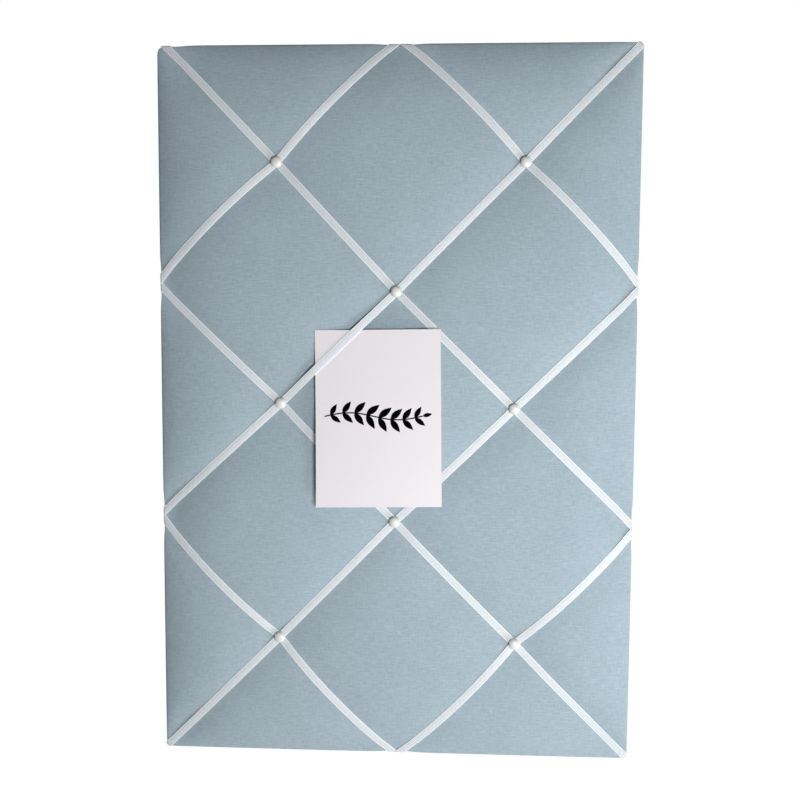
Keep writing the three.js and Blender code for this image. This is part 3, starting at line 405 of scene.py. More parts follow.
def distance_from_card(places):
    """How far places lie outside the card and its way out, as seen from the front."""
    least = np.full(len(places), np.inf)
    for share in np.linspace(0, 1, CARD_STOPS):
        from_middle = places - (CARD_MIDDLE + CARD_WAY_OUT * share)[[0, 2]]
        past_side = np.abs(from_middle @ CARD_ACROSS[[0, 2]]) - CARD_WIDTH / 2
        past_end = np.abs(from_middle @ CARD_UP[[0, 2]]) - CARD_HEIGHT / 2
        least = np.minimum(least, np.hypot(np.maximum(past_side, 0), np.maximum(past_end, 0)))
    return least


def pressed_by_card(places, height):
    """The padding's height where the back of the card, at rest and on its way out, keeps it down."""
    from_middle = places - CARD_MIDDLE[[0, 2]]
    card_level = CARD_MIDDLE[1] - from_middle @ CARD_NORMAL[[0, 2]] / CARD_NORMAL[1]
    under_card = PANEL_FRONT - card_level - CARD_THICKNESS - PRESS_GAP
    limit = under_card + PRESS_SLOPE * distance_from_card(places)
    return -PRESS_ROUNDING * np.logaddexp(-height / PRESS_ROUNDING, -limit / PRESS_ROUNDING)


# Padded face

def distance_to_line(places, line):
    least = np.full(len(places), np.inf)
    for start, end in zip(line[:-1], line[1:]):
        along = end - start
        share = np.clip((places - start) @ along / (along @ along), 0, 1)
        foot = start + share[:, None] * along
        least = np.minimum(least, np.linalg.norm(places - foot, axis=1))
    return least


def nail_distances(places):
    """How far places lie from each nail, a row for each nail."""
    return np.array([np.linalg.norm(places - nail, axis=1) for nail in NAIL_PLACES.values()])


def ribbon_distances(places):
    return np.array([distance_to_line(places, line) for line in RIBBON_LINES])


def distance_from_rim(places):
    past = np.abs(places) - HALF + CORNER_RADIUS
    outside = np.linalg.norm(np.maximum(past, 0), axis=1)
    inside = np.minimum(past.max(axis=1), 0)
    return CORNER_RADIUS - outside - inside


def press_beside(distance, reach):
    """The share of a press that is left at a distance from what presses: it eases fastest just beside it."""
    past_bed = np.hypot(distance, FURROW_BED) - FURROW_BED
    return np.exp(-past_bed / reach)


def pad_height(places):
    """The cloth's height before it swells: dimples at nails, furrows under ribbons and a rounded rim."""
    from_nails = (1 - press_beside(nail_distances(places), DIMPLE_REACH)).prod(axis=0)
    from_ribbons = (1 - RIBBON_PRESSES * press_beside(ribbon_distances(places), FURROW_REACH)).prod(axis=0)
    from_edges = 1 - np.exp(-(((HALF - np.abs(places)) / RIM_FALL_REACH) ** 2))
    height = PAD_AT_NAILS + (PAD_UNDER_RIBBONS - PAD_AT_NAILS) * from_nails
    height += (PAD_AT_CROWN * SWELL_SHARE - PAD_UNDER_RIBBONS) * from_ribbons
    height -= RIM_FALL * (1 - from_edges.prod(axis=1))
    height = pressed_by_card(places, height)
    to_rim = 1 - np.clip(distance_from_rim(places) / RIM_REACH, 0, 1)
    return PAD_AT_RIM + (height - PAD_AT_RIM) * np.sqrt(1 - to_rim**2)


# Mesh building

def add_object(name, data):
    piece = bpy.data.objects.new(name, data)
    bpy.context.scene.collection.objects.link(piece)
    return piece


def add_mesh(name, points, faces, flat=None):
    mesh = bpy.data.meshes.new(name)
    mesh.from_pydata([tuple(point) for point in points], [], [tuple(face) for face in faces])
    mesh.update()
    mesh.shade_smooth()
    if flat is not None:
        layer = mesh.uv_layers.new(name="flat")
        corners = np.empty(len(mesh.loops), int)
        mesh.loops.foreach_get("vertex_index", corners)
        layer.data.foreach_set("uv", np.asarray(flat, float)[corners].ravel())
    return add_object(name, mesh)


def grid_faces(rows, columns, first=0, closed=False, looped=False):
    """Quads of points stored row by row. Closed joins each row's ends, and looped the first and last rows."""
    faces = []
    for row in range(rows if looped else rows - 1):
        near = first + row * columns
        far = first + (row + 1) % rows * columns
        for column in range(columns if closed else columns - 1):
            after = (column + 1) % columns
            faces.append((near + column, near + after, far + after, far + column))
    return faces


def grid_border(rows, columns):
    """Indices of a grid's outermost points, anticlockwise from the lower left as seen from the front."""
    bottom = list(range(columns - 1))
    right = [row * columns + columns - 1 for row in range(rows - 1)]
    top = [(rows - 1) * columns + column for column in range(columns - 1, 0, -1)]
    left = [row * columns for row in range(rows - 1, 0, -1)]
    return bottom + right + top + left


def band_faces(first, second):
    """Quads between two closed rings of indices."""
    faces = []
    for i in range(len(first)):
        after = (i + 1) % len(first)
        faces.append((first[after], first[i], second[i], second[after]))
    return faces


def capped_tube_faces(rings, sides):
    last = (rings - 1) * sides
    caps = [tuple(range(sides - 1, -1, -1)), tuple(range(last, last + sides))]
    return grid_faces(rings, sides, closed=True) + caps


def flipped(faces):
    return [tuple(reversed(face)) for face in faces]


def lathe(name, profile, sides):
    """Turns a profile of (radius, height) about Y, with heights towards -Y. Both ends lie on the axis."""
    points = [(0, -profile[0][1], 0)]
    for radius, height in profile[1:-1]:
        points += [(x, -height, z) for x, z in radius * circle(sides)]
    points.append((0, -profile[-1][1], 0))
    rings = len(profile) - 2
    faces = flipped(grid_faces(rings, sides, first=1, closed=True))
    last_ring = 1 + (rings - 1) * sides
    for side in range(sides):
        after = (side + 1) % sides
        faces.append((0, 1 + side, 1 + after))
        faces.append((last_ring + after, last_ring + side, len(points) - 1))
    return add_mesh(name, points, faces)


def apply_modifiers(piece):
    depsgraph = bpy.context.evaluated_depsgraph_get()
    mesh = bpy.data.meshes.new_from_object(piece.evaluated_get(depsgraph))
    piece.modifiers.clear()
    piece.data = mesh


# Cloth cover

COLUMNS = round(2 * (HALF_WIDTH - RIM_BAND) / GRID_STEP) + 1
ROWS = round(2 * (HALF_HEIGHT - RIM_BAND) / GRID_STEP) + 1
GRID_X = np.linspace(RIM_BAND - HALF_WIDTH, HALF_WIDTH - RIM_BAND, COLUMNS)
GRID_Z = np.linspace(RIM_BAND - HALF_HEIGHT, HALF_HEIGHT - RIM_BAND, ROWS)
GRID = np.array([(x, z) for z in GRID_Z for x in GRID_X])
BORDER = grid_border(ROWS, COLUMNS)
BORDER_SHARES = GRID[BORDER] / (HALF - RIM_BAND)
RIM_INSETS = RIM_REACH * (1 - np.sin(np.linspace(0, math.pi / 2, RIM_TURNS + 1)))


def ring_places(inset, radius):
    """The grid's border spread out to a rectangle with round corners that lies an inset in from the rim."""
    half = HALF - inset
    sharp = BORDER_SHARES * half
    past = np.abs(sharp) - (half - radius)
    angle = np.arctan2(past[:, 1], past[:, 0])
    corner = half - radius + radius * np.column_stack([np.cos(angle), np.sin(angle)])
    at_corner = (past > 0).all(axis=1, keepdims=True)
    return np.where(at_corner, corner * np.sign(sharp), sharp)


def hem_fold(places):
    """How far the cloth stands up where its corners are folded under on the back."""
    to_side, to_end = (HALF - np.abs(places)).T
    past_fold = (to_side - to_end) / HEM_FOLD_REACH
    return np.where(past_fold >= 0, HEM_FOLD_HEIGHT * (1 - smooth_step(past_fold)), 0)


def face_rings():
    """Rings from the grid out to the rim, as points, and how far each lies past the rim along the cloth."""
    rings = []
    for inset in RIM_INSETS:
        places = ring_places(inset, CORNER_RADIUS * (1 - inset / RIM_BAND))
        height = pad_height(places) if inset > 0 else PAD_AT_RIM
        rings.append((in_space(drawn_in(places), PANEL_FRONT - height), -inset))
    return rings


def hem_rings():
    """Rings down the side and in over the back, as in face_rings."""
    rings = []
    edge = BACK_EDGE[-1][0]
    profile = [(0, level) for level in SIDE_LEVELS] + BACK_EDGE
    profile += [(inset, HEM_BACK) for inset in np.linspace(edge, HEM_WIDTH, HEM_STEPS + 1)[1:]]
    for inset, level in profile:
        places = ring_places(inset, CORNER_RADIUS + (HEM_CORNER - CORNER_RADIUS) * inset / HEM_WIDTH)
        fold = hem_fold(places) if inset > edge else 0
        rings.append((in_space(drawn_in(places), level + fold), level - RIM_LEVEL + inset))
    return rings


def faces_with_rings(ring_count):
    """Faces of the grid and of the rings round it."""
    first_ring = range(len(GRID), len(GRID) + len(BORDER))
    rings = grid_faces(ring_count, len(BORDER), first=len(GRID), closed=True)
    return grid_faces(ROWS, COLUMNS) + band_faces(BORDER, first_ring) + flipped(rings)


def cover_mesh():
    """The cover as one layer with its flat pattern, and the index from which its points are held."""
    points = [in_space(GRID, PANEL_FRONT - pad_height(GRID))]
    flat = [GRID]
    rings = face_rings() + hem_rings()
    for ring, past_rim in rings:
        points.append(ring)
        flat.append(BORDER_SHARES * (HALF + past_rim))
    cover = add_mesh("cover", np.vstack(points), faces_with_rings(len(rings)), np.vstack(flat) + FLAT_MIDDLE)
    return cover, len(GRID) + FREE_RINGS * len(BORDER)


def hold_weights(points, held_from):
    """How firmly each point is held: fully at nails and from the rim on, softly beside the ribbons."""
    places = points[:, [0, 2]]
    weights = np.exp(-((ribbon_distances(places).min(axis=0) / HOLD_REACH) ** 2))
    weights[nail_distances(places).min(axis=0) < HEAD_RADIUS + GRID_STEP] = 1
    weights[held_from:] = 1
    return weights


def swell(cover, weights):
    """Blows the padded face up between what holds it, and caps how far each point moves."""
    start = vertex_points(cover.data)
    group = cover.vertex_groups.new(name="held")
    for i, weight in enumerate(weights):
        group.add([i], float(weight), "REPLACE")
    cloth = cover.modifiers.new("swell", "CLOTH")
    cloth.settings.quality = SWELL_QUALITY
    cloth.settings.vertex_group_mass = group.name
    cloth.settings.use_pressure = True
    cloth.settings.uniform_pressure_force = SWELL_PRESSURE
    cloth.settings.effector_weights.gravity = 0
    cloth.point_cache.frame_start = 1
    cloth.point_cache.frame_end = SWELL_FRAMES
    scene = bpy.context.scene
    for number in range(1, SWELL_FRAMES + 1):
        scene.frame_set(number)
    swollen = cover.evaluated_get(bpy.context.evaluated_depsgraph_get())
    moved = vertex_points(swollen.data) - start
    cover.modifiers.clear()
    cover.vertex_groups.clear()
    scene.frame_set(1)
    distance = np.linalg.norm(moved, axis=1)
    share = SWELL_LIMIT * np.tanh(distance / SWELL_LIMIT) / np.maximum(distance, LEAST_SWELL)
    points = start + moved * share[:, None]
    on_face = points[:, 1] < RIM_LEVEL
    face = points[on_face]
    points[on_face, 1] = PANEL_FRONT - pressed_by_card(face[:, [0, 2]], PANEL_FRONT - face[:, 1])
    cover.data.vertices.foreach_set("co", points.ravel())
    cover.data.update()


cover, held_from = cover_mesh()
swell(cover, hold_weights(vertex_points(cover.data), held_from))
finer = cover.modifiers.new("finer", "SUBSURF")
finer.levels = 1
finer.render_levels = 1
apply_modifiers(cover)


# Materials

# Sockets of a Mix node that blends colours
COLOUR_A, COLOUR_B, COLOUR_RESULT = 6, 7, 2

# How far a metal's roughness varies both ways
METAL_SPREAD = 0.08


def set_inputs(node, inputs):
    """Links inputs to the sockets given for them, and sets the others to their values."""
    for key, value in inputs.items():
        if isinstance(value, bpy.types.NodeSocket):
            node.id_data.links.new(value, node.inputs[key])
        else:
            node.inputs[key].default_value = value


def add_node(tree, kind, inputs=None, **settings):
    node = tree.nodes.new(kind)
    for key, value in settings.items():
        setattr(node, key, value)
    set_inputs(node, inputs or {})
    return node


def add_math(operation, first, *others):
    """A Math node in the tree of its first socket."""
    inputs = dict(enumerate([first, *others]))
    return add_node(first.id_data, "ShaderNodeMath", inputs, operation=operation).outputs[0]


def add_weighted(weights, total=None):
    """The sum of sockets times their weights, added to a total."""
    for socket, weight in weights:
        part = add_math("MULTIPLY", socket, weight)
        total = part if total is None else add_math("ADD", total, part)
    return total


def blend_colours(factor, first, second):
    inputs = {0: factor, COLOUR_A: (*first, 1), COLOUR_B: (*second, 1)}
    return add_node(factor.id_data, "ShaderNodeMix", inputs, data_type="RGBA").outputs[COLOUR_RESULT]


def remap(value, low, high, to_low=0, to_high=1):
    """Spreads the values between low and high over another range."""
    inputs = {"Value": value, "From Min": low, "From Max": high, "To Min": to_low, "To Max": to_high}
    return add_node(value.id_data, "ShaderNodeMapRange", inputs).outputs[0]


def object_place(tree):
    return add_node(tree, "ShaderNodeTexCoord").outputs["Object"]


def flat_place(tree):
    return add_node(tree, "ShaderNodeUVMap", uv_map="flat").outputs[0]


def noise(place, scale, detail=2):
    """Noise with its own number of lumps a metre along each axis."""
    mapping = add_node(place.id_data, "ShaderNodeMapping", {"Vector": place, "Scale": scale})
    inputs = {"Vector": mapping.outputs[0], "Scale": 1, "Detail": detail}
    return add_node(place.id_data, "ShaderNodeTexNoise", inputs).outputs[0]


def bump(height, distance, strength):
    inputs = {"Height": height, "Distance": distance, "Strength": strength}
    return add_node(height.id_data, "ShaderNodeBump", inputs).outputs[0]


def add_material(name, look, *settings):
    """A material whose look, a function of its node tree, gives the shader's inputs."""
    material = bpy.data.materials.new(name)
    material.use_nodes = True
    tree = material.node_tree
    set_inputs(tree.nodes["Principled BSDF"], look(tree, *settings))
    return material


def linen_look(tree):
    flat = flat_place(tree)
    weft = noise(flat, (150, 900, 1))
    warp = noise(flat, (900, 160, 1))
    mottle = noise(flat, (26, 30, 1))
    slubs = remap(noise(flat, (50, 620, 1), detail=1), low=0.6, high=0.74)
    threads = add_weighted([(weft, 0.5), (warp, 0.36)])
    tone = remap(add_weighted([(mottle, 0.14), (slubs, 0.1)], threads), low=0.34, high=0.68)
    axes = add_node(tree, "ShaderNodeSeparateXYZ", {"Vector": flat})
    turns = 2 * math.pi / THREAD_PITCH
    across, up = [add_math("SINE", add_math("MULTIPLY", axes.outputs[i], turns)) for i in range(2)]
    height = add_weighted([(add_math("MULTIPLY", across, up), 0.3)], threads)
    return {
        "Base Color": blend_colours(tone, (0.3, 0.376, 0.428), (0.402, 0.5, 0.558)),
        "Normal": bump(height, 0.25 * MM, 0.5),
        "Roughness": 0.92,
        "Specular IOR Level": 0.15,
        "Sheen Weight": 0.04,
        "Sheen Roughness": 0.5,
    }


def painted_satin_edge_light(flat):
    """How light the satin is from its middle to its edges: a painted shade line in the groove inside each
    edge, then a painted highlight on the raised woven edge.
    """
    axes = add_node(flat.id_data, "ShaderNodeSeparateXYZ", {"Vector": flat})
    from_middle = add_math("ABSOLUTE", add_math("SUBTRACT", axes.outputs[1], FLAT_MIDDLE))
    share = remap(from_middle, low=0, high=RIBBON_WIDTH / 2)
    ramp = add_node(flat.id_data, "ShaderNodeValToRGB", {"Fac": share})
    # Painted shade: the dark stop at 0.7 darkens the groove; painted highlight: the pale stops from 0.8 light
    # the raised edge
    stops = [(0, 0.46), (0.6, 0.46), (0.7, 0.26), (0.8, 0.85), (1, 0.85)]
    elements = ramp.color_ramp.elements
    while len(elements) < len(stops):
        elements.new(1)
    for element, (place, value) in zip(elements, stops):
        element.position = place
        element.color = (value, value, value, 1)
    return ramp.outputs[0]


def satin_look(tree):
    flat = flat_place(tree)
    floats = noise(flat, (420, 3200, 1))
    grain = noise(flat, (1300, 1300, 1), detail=1)
    tone = add_weighted([(floats, 0.5), (grain, 0.5)])
    # Adds the edges' painted shade line and painted highlight to the satin's random tone
    tone_and_painted_edges = add_math("ADD", tone, add_math("SUBTRACT", painted_satin_edge_light(flat), 0.5))
    spread = remap(tone_and_painted_edges, low=0.25, high=0.75)
    tangent = add_node(tree, "ShaderNodeTangent", direction_type="UV_MAP", uv_map="flat")
    return {
        "Base Color": blend_colours(spread, (0.468, 0.494, 0.518), (0.833, 0.874, 0.905)),
        "Normal": bump(tone, 0.08 * MM, 0.5),
        "Tangent": tangent.outputs[0],
        "Roughness": 0.67,
        "Anisotropic": 0.8,
        "Anisotropic Rotation": 0.25,
        "IOR": 2,
        "Specular IOR Level": 0.4,
    }


def enamel_look(tree):
    place = object_place(tree)
    mottle = noise(place, (420, 420, 420))
    return {
        "Base Color": blend_colours(mottle, (0.66, 0.66, 0.625), (0.74, 0.74, 0.71)),
        "Normal": bump(noise(place, (900, 900, 900)), 0.05 * MM, 0.3),
        "Roughness": 0.33,
        "Coat Weight": 0.25,
        "Coat Roughness": 0.2,
    }


def card_look(tree):
    fibres = noise(object_place(tree), (900, 900, 700), detail=3)
    return {
        "Base Color": blend_colours(fibres, (0.73, 0.693, 0.721), (0.787, 0.75, 0.778)),
        "Normal": bump(fibres, 0.03 * MM, 0.35),
        "Roughness": 0.62,
    }


def ink_look(tree):
    patches = noise(object_place(tree), (600, 600, 600), detail=3)
    return {
        "Base Color": blend_colours(patches, (0.0006, 0.0006, 0.0008), (0.0022, 0.0022, 0.0026)),
        "Roughness": 0.7,
        "Specular IOR Level": 0,
    }


def fibreboard_look(tree):
    place = object_place(tree)
    fibres = noise(place, (900, 900, 260), detail=5)
    cloud = noise(place, (18, 18, 14), detail=3)
    tone = remap(add_weighted([(fibres, 0.7), (cloud, 0.3)]), low=0.35, high=0.65)
    return {
        "Base Color": blend_colours(tone, (0.27, 0.175, 0.095), (0.44, 0.31, 0.185)),
        "Normal": bump(fibres, 0.1 * MM, 0.4),
        "Roughness": 0.8,
    }


def fleece_look(tree):
    fibres = noise(object_place(tree), (500, 500, 500), detail=4)
    return {
        "Base Color": blend_colours(fibres, (0.72, 0.72, 0.70), (0.90, 0.90, 0.88)),
        "Normal": bump(fibres, 0.4 * MM, 0.6),
        "Roughness": 1,
    }


def metal_look(tree, dark, light, roughness):
    place = object_place(tree)
    patches = noise(place, (260, 260, 260), detail=3)
    scratches = noise(place, (300, 300, 5000))
    return {
        "Base Color": blend_colours(patches, dark, light),
        "Normal": bump(scratches, 0.02 * MM, 0.3),
        "Roughness": remap(patches, 0, 1, roughness - METAL_SPREAD, roughness + METAL_SPREAD),
        "Metallic": 1,
    }


linen = add_material("linen", linen_look)
satin = add_material("satin", satin_look)
enamel = add_material("nail enamel", enamel_look)
card_stock = add_material("card stock", card_look)
ink = add_material("ink", ink_look)
fibreboard = add_material("fibreboard", fibreboard_look)
fleece = add_material("fleece", fleece_look)
zinc = add_material("zinc", metal_look, (0.33, 0.34, 0.35), (0.50, 0.51, 0.52), 0.34)
staple_steel = add_material("staple steel", metal_look, (0.40, 0.40, 0.40), (0.56, 0.56, 0.56), 0.28)


def paint(piece, material):
    piece.data.materials.clear()
    piece.data.materials.append(material)


def dress(piece, material, body="board"):
    paint(piece, material)
    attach(piece, body)


# Relief: what already lies on the board, for the next layer to lie on

class Relief:
    """The outermost surface of the meshes that have been added, as heights above the panel's front."""

    def __init__(self):
        self.points = []
        self.faces = []
        self.tree = None

    def add(self, piece):
        first = len(self.points)
        self.points += [vertex.co.copy() for vertex in piece.data.vertices]
        self.faces += [[first + i for i in polygon.vertices] for polygon in piece.data.polygons]
        self.tree = BVHTree.FromPolygons(self.points, self.faces)

    def height(self, place):
        in_front = Vector((place[0], RAY_START, place[1]))
        hit = self.tree.ray_cast(in_front, Vector((0, 1, 0)))[0] if self.tree else None
        if hit is None or hit.y > RIM_LEVEL:
            return PAD_AT_RIM
        return PANEL_FRONT - hit.y

    def heights(self, rows):
        return np.array([[self.height(place) for place in row] for row in rows])


cloth_relief = Relief()
cloth_relief.add(cover)
upper_relief = Relief()


# Wadding inside the cover

def wadding_mesh():
    """The padded face drawn in, folded over the panel's edge, with a pocket for the panel."""
    inset = CLOTH_THICKNESS + WADDING_GAP
    seat_level = PANEL_FRONT - SEAT_GAP
    rings = []
    for points, _ in face_rings():
        rings.append(in_space(points[:, [0, 2]] * (1 - inset / HALF), points[:, 1] + inset))
    pocket = [(inset, WADDING_BACK), (POCKET_INSET, WADDING_BACK), (POCKET_INSET, seat_level)]
    for ring_inset, level in pocket:
        rings.append(in_space(drawn_in(ring_places(ring_inset, CORNER_RADIUS - ring_inset / 2)), level))
    face = in_space(GRID, PANEL_FRONT - pad_height(GRID) + inset)
    seat = in_space(GRID, seat_level)
    first_seat = len(GRID) + len(rings) * len(BORDER)
    faces = faces_with_rings(len(rings)) + flipped(grid_faces(ROWS, COLUMNS, first=first_seat))
    faces += band_faces(range(first_seat - len(BORDER), first_seat), [first_seat + i for i in BORDER])
    return add_mesh("padding", np.vstack([face, *rings, seat]), faces)


padding = wadding_mesh()
dress(padding, fleece)
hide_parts("wadding")

# Cover's thickness, material and body
thickness = cover.modifiers.new("thickness", "SOLIDIFY")
thickness.thickness = CLOTH_THICKNESS
thickness.offset = -1
apply_modifiers(cover)
dress(cover, linen)
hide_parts("cloth_cover")


# Ribbons as strips: rows along a ribbon, each with its point, the way to its edge and its edges' bend

def strip_of(points, halves, bends):
    return np.stack(np.broadcast_arrays(points, halves, bends), axis=1)


def turned(strip):
    """The strip from its other end, where its edges change places."""
    return strip[::-1] * np.array([[1], [-1], [1]])


class Crossing:
    """How a ribbon leaves the face: where it crosses the rim, and how its tail goes on from there."""

    def __init__(self, nail, end, ribbon):
        self.outward = end.outward
        along = left_of(self.outward)
        radius = CORNER_RADIUS if end.at_corner else 0
        rim = (HALF - radius) @ np.abs(self.outward) + radius
        straight = unit(end.place - nail)
        past_rim = (end.place @ self.outward - rim) / (straight @ self.outward)
        self.start = end.place - straight * past_rim
        self.stretch = Stretch(nail, self.start, ribbon.bow)
        direction = self.stretch.directions_at(np.ones(1))[0]
        self.forward = direction @ self.outward
        self.half = along * RIBBON_WIDTH / 2 / self.forward
        self.side_drift = along * (direction @ along) / self.forward
        self.back_drift = self.side_drift
        if end.off_corner:
            self.side_drift = np.zeros(2)
            self.back_drift = -along * np.sign(along @ self.start)
        self.bend = np.zeros(2)
        self.hem_reach = HEM_WIDTH
        # Tails that cross on the side and the hem lie on each other
        self.stand = ribbon.layer * (RIBBON_THICKNESS + TAIL_GAP)
        if end.at_corner:
            self.bend = -self.outward * (RIBBON_WIDTH / 2) ** 2 / (2 * CORNER_RADIUS)
            self.hem_reach = HEM_WIDTH * math.sqrt(2) + RIBBON_WIDTH / 2 - CORNER_RADIUS * (math.sqrt(2) - 1)
            self.stand = 0
        self.side = HEM_BACK + self.stand - RIM_LEVEL

    def tail_place(self, out, down_side, in_from_edge):
        place = self.start - self.outward * in_from_edge
        place = place + self.side_drift * down_side + self.back_drift * in_from_edge
        return drawn_in(place[None])[0] + self.outward * out


def even_steps(length):
    return np.linspace(0, length, math.ceil(length / RIBBON_STEP) + 1)


def strip_to_rim(crossing):
    """A flat strip from a nail to the rim, where its half widths end parallel to the rim."""
    stretch = crossing.stretch
    length = np.linalg.norm(stretch.way)
    free = length - RIM_REACH / 2 / crossing.forward
    near_rim = RIM_INSETS[RIM_INSETS < RIM_REACH / 2]
    distances = np.concatenate([even_steps(free), length - near_rim / crossing.forward])
    shares = distances / length
    from_rim = ((length - distances) * crossing.forward)[:, None]
    skew = smooth_step((SKEW_FROM - from_rim) / (SKEW_FROM - SKEW_TO))
    square = left_of(stretch.directions_at(shares).T).T * RIBBON_WIDTH / 2
    bends = crossing.bend * smooth_step(1 - from_rim / BEND_REACH)
    return strip_of(stretch.places_at(shares), square * (1 - skew) + crossing.half * skew, bends)


def strip_between(first, second):
    way = second - first
    length = np.linalg.norm(way)
    places = first + way * (even_steps(length) / length)[:, None]
    return strip_of(places, left_of(way / length) * RIBBON_WIDTH / 2, np.zeros(2))


def taut_over(distances, needs, held):
    """Heights of a ribbon drawn tight over what it has to clear, and held down at some of its points."""
    heights = needs.copy()
    for first, last in zip(held[:-1], held[1:]):
        hull = [first]
        for i in range(first + 1, last + 1):
            while len(hull) > 1:
                before, middle = hull[-2], hull[-1]
                share = (distances[middle] - distances[before]) / (distances[i] - distances[before])
                line = needs[before] + (needs[i] - needs[before]) * share
                if needs[middle] > line:
                    break
                hull.pop()
            hull.append(i)
        span = slice(first, last + 1)
        heights[span] = np.interp(distances[span], distances[hull], needs[hull])
    return heights


def smoothed(values, rounds):
    for _ in range(rounds):
        padded = np.concatenate([values[:1], values, values[-1:]])
        values = (padded[:-2] + 2 * padded[1:-1] + padded[2:]) / 4
    return values


def lay_on_relief(strip, held):
    """The strip over the face: it leans with the cloth, presses into it and lies on what else is there."""
    places, halves, bends = strip.transpose(1, 0, 2)
    centres = drawn_in(places)
    samples = centres[:, None] + halves[:, None] * ACROSS[:, None]
    cloth = cloth_relief.heights(samples)
    upper = upper_relief.heights(samples)
    lean = smoothed((cloth[:, -1] - cloth[:, 0]) / 2, LEAN_ROUNDS)
    over_cloth = (cloth - lean[:, None] * ACROSS).mean(axis=1) - RIBBON_SINK
    needs = np.maximum(over_cloth, (upper - lean[:, None] * ACROSS).max(axis=1))
    heights = taut_over(run_along(centres), needs, held)
    return strip_of(in_space(centres, PANEL_FRONT - heights), in_space(halves, -lean), in_space(bends, 0))


def tail_strip(crossing):
    """The tail's run down the side, round the back edge, over the hem and onto the panel's back."""
    stand, side, hem_reach = crossing.stand, crossing.side, crossing.hem_reach
    over_hem = HEM_BACK + stand
    edge = BACK_EDGE[-1][0]
    route = [(stand, level - RIM_LEVEL, 0, level) for level in SIDE_LEVELS]
    for turn in QUARTERS:
        angle = turn * math.pi / 2
        inward = edge * (1 - math.cos(angle))
        route.append((stand, side, inward, over_hem - edge * (1 - math.sin(angle)) * (1 - turn)))
    for reach in np.linspace(edge, hem_reach, math.ceil(hem_reach / (2 * RIBBON_STEP)))[1:]:
        on_hem = crossing.tail_place(0, side, reach)
        fold = hem_fold(on_hem + crossing.half * ACROSS[:, None]).max()
        route.append((0, side, reach, over_hem + fold))
    last_level = route[-1][-1]
    for share in QUARTERS:
        route.append((0, side, hem_reach + TAIL_SLOPE * share, last_level * (1 - smooth_step(share))))
    for reach in np.linspace(TAIL_SLOPE, TAIL_PAST_HEM, TAIL_STEPS)[1:]:
        route.append((0, side, hem_reach + reach, 0))
    places = np.array([crossing.tail_place(*row[:3]) for row in route])
    bent = np.array([[max(0, 1 - row[2] / edge)] for row in route])
    points = in_space(places, [row[3] for row in route])
    return strip_of(points, in_space(crossing.half[None], 0), in_space(crossing.bend * bent, 0))


def ribbon_mesh(name, strip):
    """Sweeps the ribbon's section along a strip."""
    points, halves, bends = strip.transpose(1, 0, 2)
    tangents = np.vstack([points[1:], points[-1:]]) - np.vstack([points[:1], points[:-1]])
    outer = np.cross(tangents, halves)
    outer /= np.linalg.norm(outer, axis=1)[:, None]
    vertices = []
    flat = []
    for point, half, bend, out, run in zip(points, halves, bends, outer, run_along(points)):
        for across, rise in RIBBON_SECTION:
            lift = RIBBON_CLEARANCE + RIBBON_THICKNESS * rise
            vertices.append(point + half * across + bend * across**2 + out * lift)
            flat.append((run, FLAT_MIDDLE + across * RIBBON_WIDTH / 2))
    return add_mesh(name, vertices, capped_tube_faces(len(points), len(RIBBON_SECTION)), flat)


TAIL_STAPLES = []


def lay_ribbon(ribbon):
    start = Crossing(ribbon.nails[0], ribbon.start, ribbon)
    end = Crossing(ribbon.nails[-1], ribbon.end, ribbon)
    strips = [turned(strip_to_rim(start))]
    for first, second in zip(ribbon.nails[:-1], ribbon.nails[1:]):
        strips.append(strip_between(first, second)[1:])
    strips.append(strip_to_rim(end)[1:])
    held = [0, *(np.cumsum([len(strip) for strip in strips]) - 1)]
    face = lay_on_relief(np.concatenate(strips), held)
    whole = np.concatenate([turned(tail_strip(start)), face, tail_strip(end)])
    piece = ribbon_mesh(f"satin_{ribbon.name}", whole)
    dress(piece, satin)
    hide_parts(ribbon.name)
    upper_relief.add(piece)
    for crossing in (start, end):
        reach = crossing.hem_reach + TAIL_PAST_HEM - STAPLE_FROM_TAIL_END
        across = left_of(crossing.back_drift - crossing.outward)
        place = crossing.tail_place(0, crossing.side, reach)
        TAIL_STAPLES.append((place, math.atan2(across[1], across[0])))


# Card

def card_point(across, up, lift):
    """A point on the card from its shares across and up, which curls a little towards the viewer."""
    low = CARD_CORNERS[0, 0] * (1 - across) + CARD_CORNERS[1, 0] * across
    high = CARD_CORNERS[0, 1] * (1 - across) + CARD_CORNERS[1, 1] * across
    lower_lift = CARD_LEFT_LIFT * (1 - across) + CARD_RIGHT_LIFT * across
    curl = CARD_BOW * 4 * up * (1 - up) * across + lower_lift * (1 - up) ** 2
    return low * (1 - up) + high * up + CARD_NORMAL * (lift + curl)


def card_mesh():
    points = []
    for lift in (0, -CARD_THICKNESS):
        for up in np.linspace(0, 1, CARD_ROWS):
            points += [card_point(across, up, lift) for across in np.linspace(0, 1, CARD_COLUMNS)]
    back = CARD_ROWS * CARD_COLUMNS
    border = grid_border(CARD_ROWS, CARD_COLUMNS)
    faces = grid_faces(CARD_ROWS, CARD_COLUMNS) + flipped(grid_faces(CARD_ROWS, CARD_COLUMNS, first=back))
    piece = add_mesh("tucked_card", points, faces + band_faces(border, [back + i for i in border]))
    piece.data.set_sharp_from_angle(angle=CARD_SHARP_ANGLE)
    return piece


def stem_place(share):
    across = (share - 0.5) * SPRIG_LENGTH
    up = SPRIG_RISE * math.sin(share * 2 * math.pi)
    return np.array([SPRIG_MIDDLE[0] + across, SPRIG_MIDDLE[1] + up])


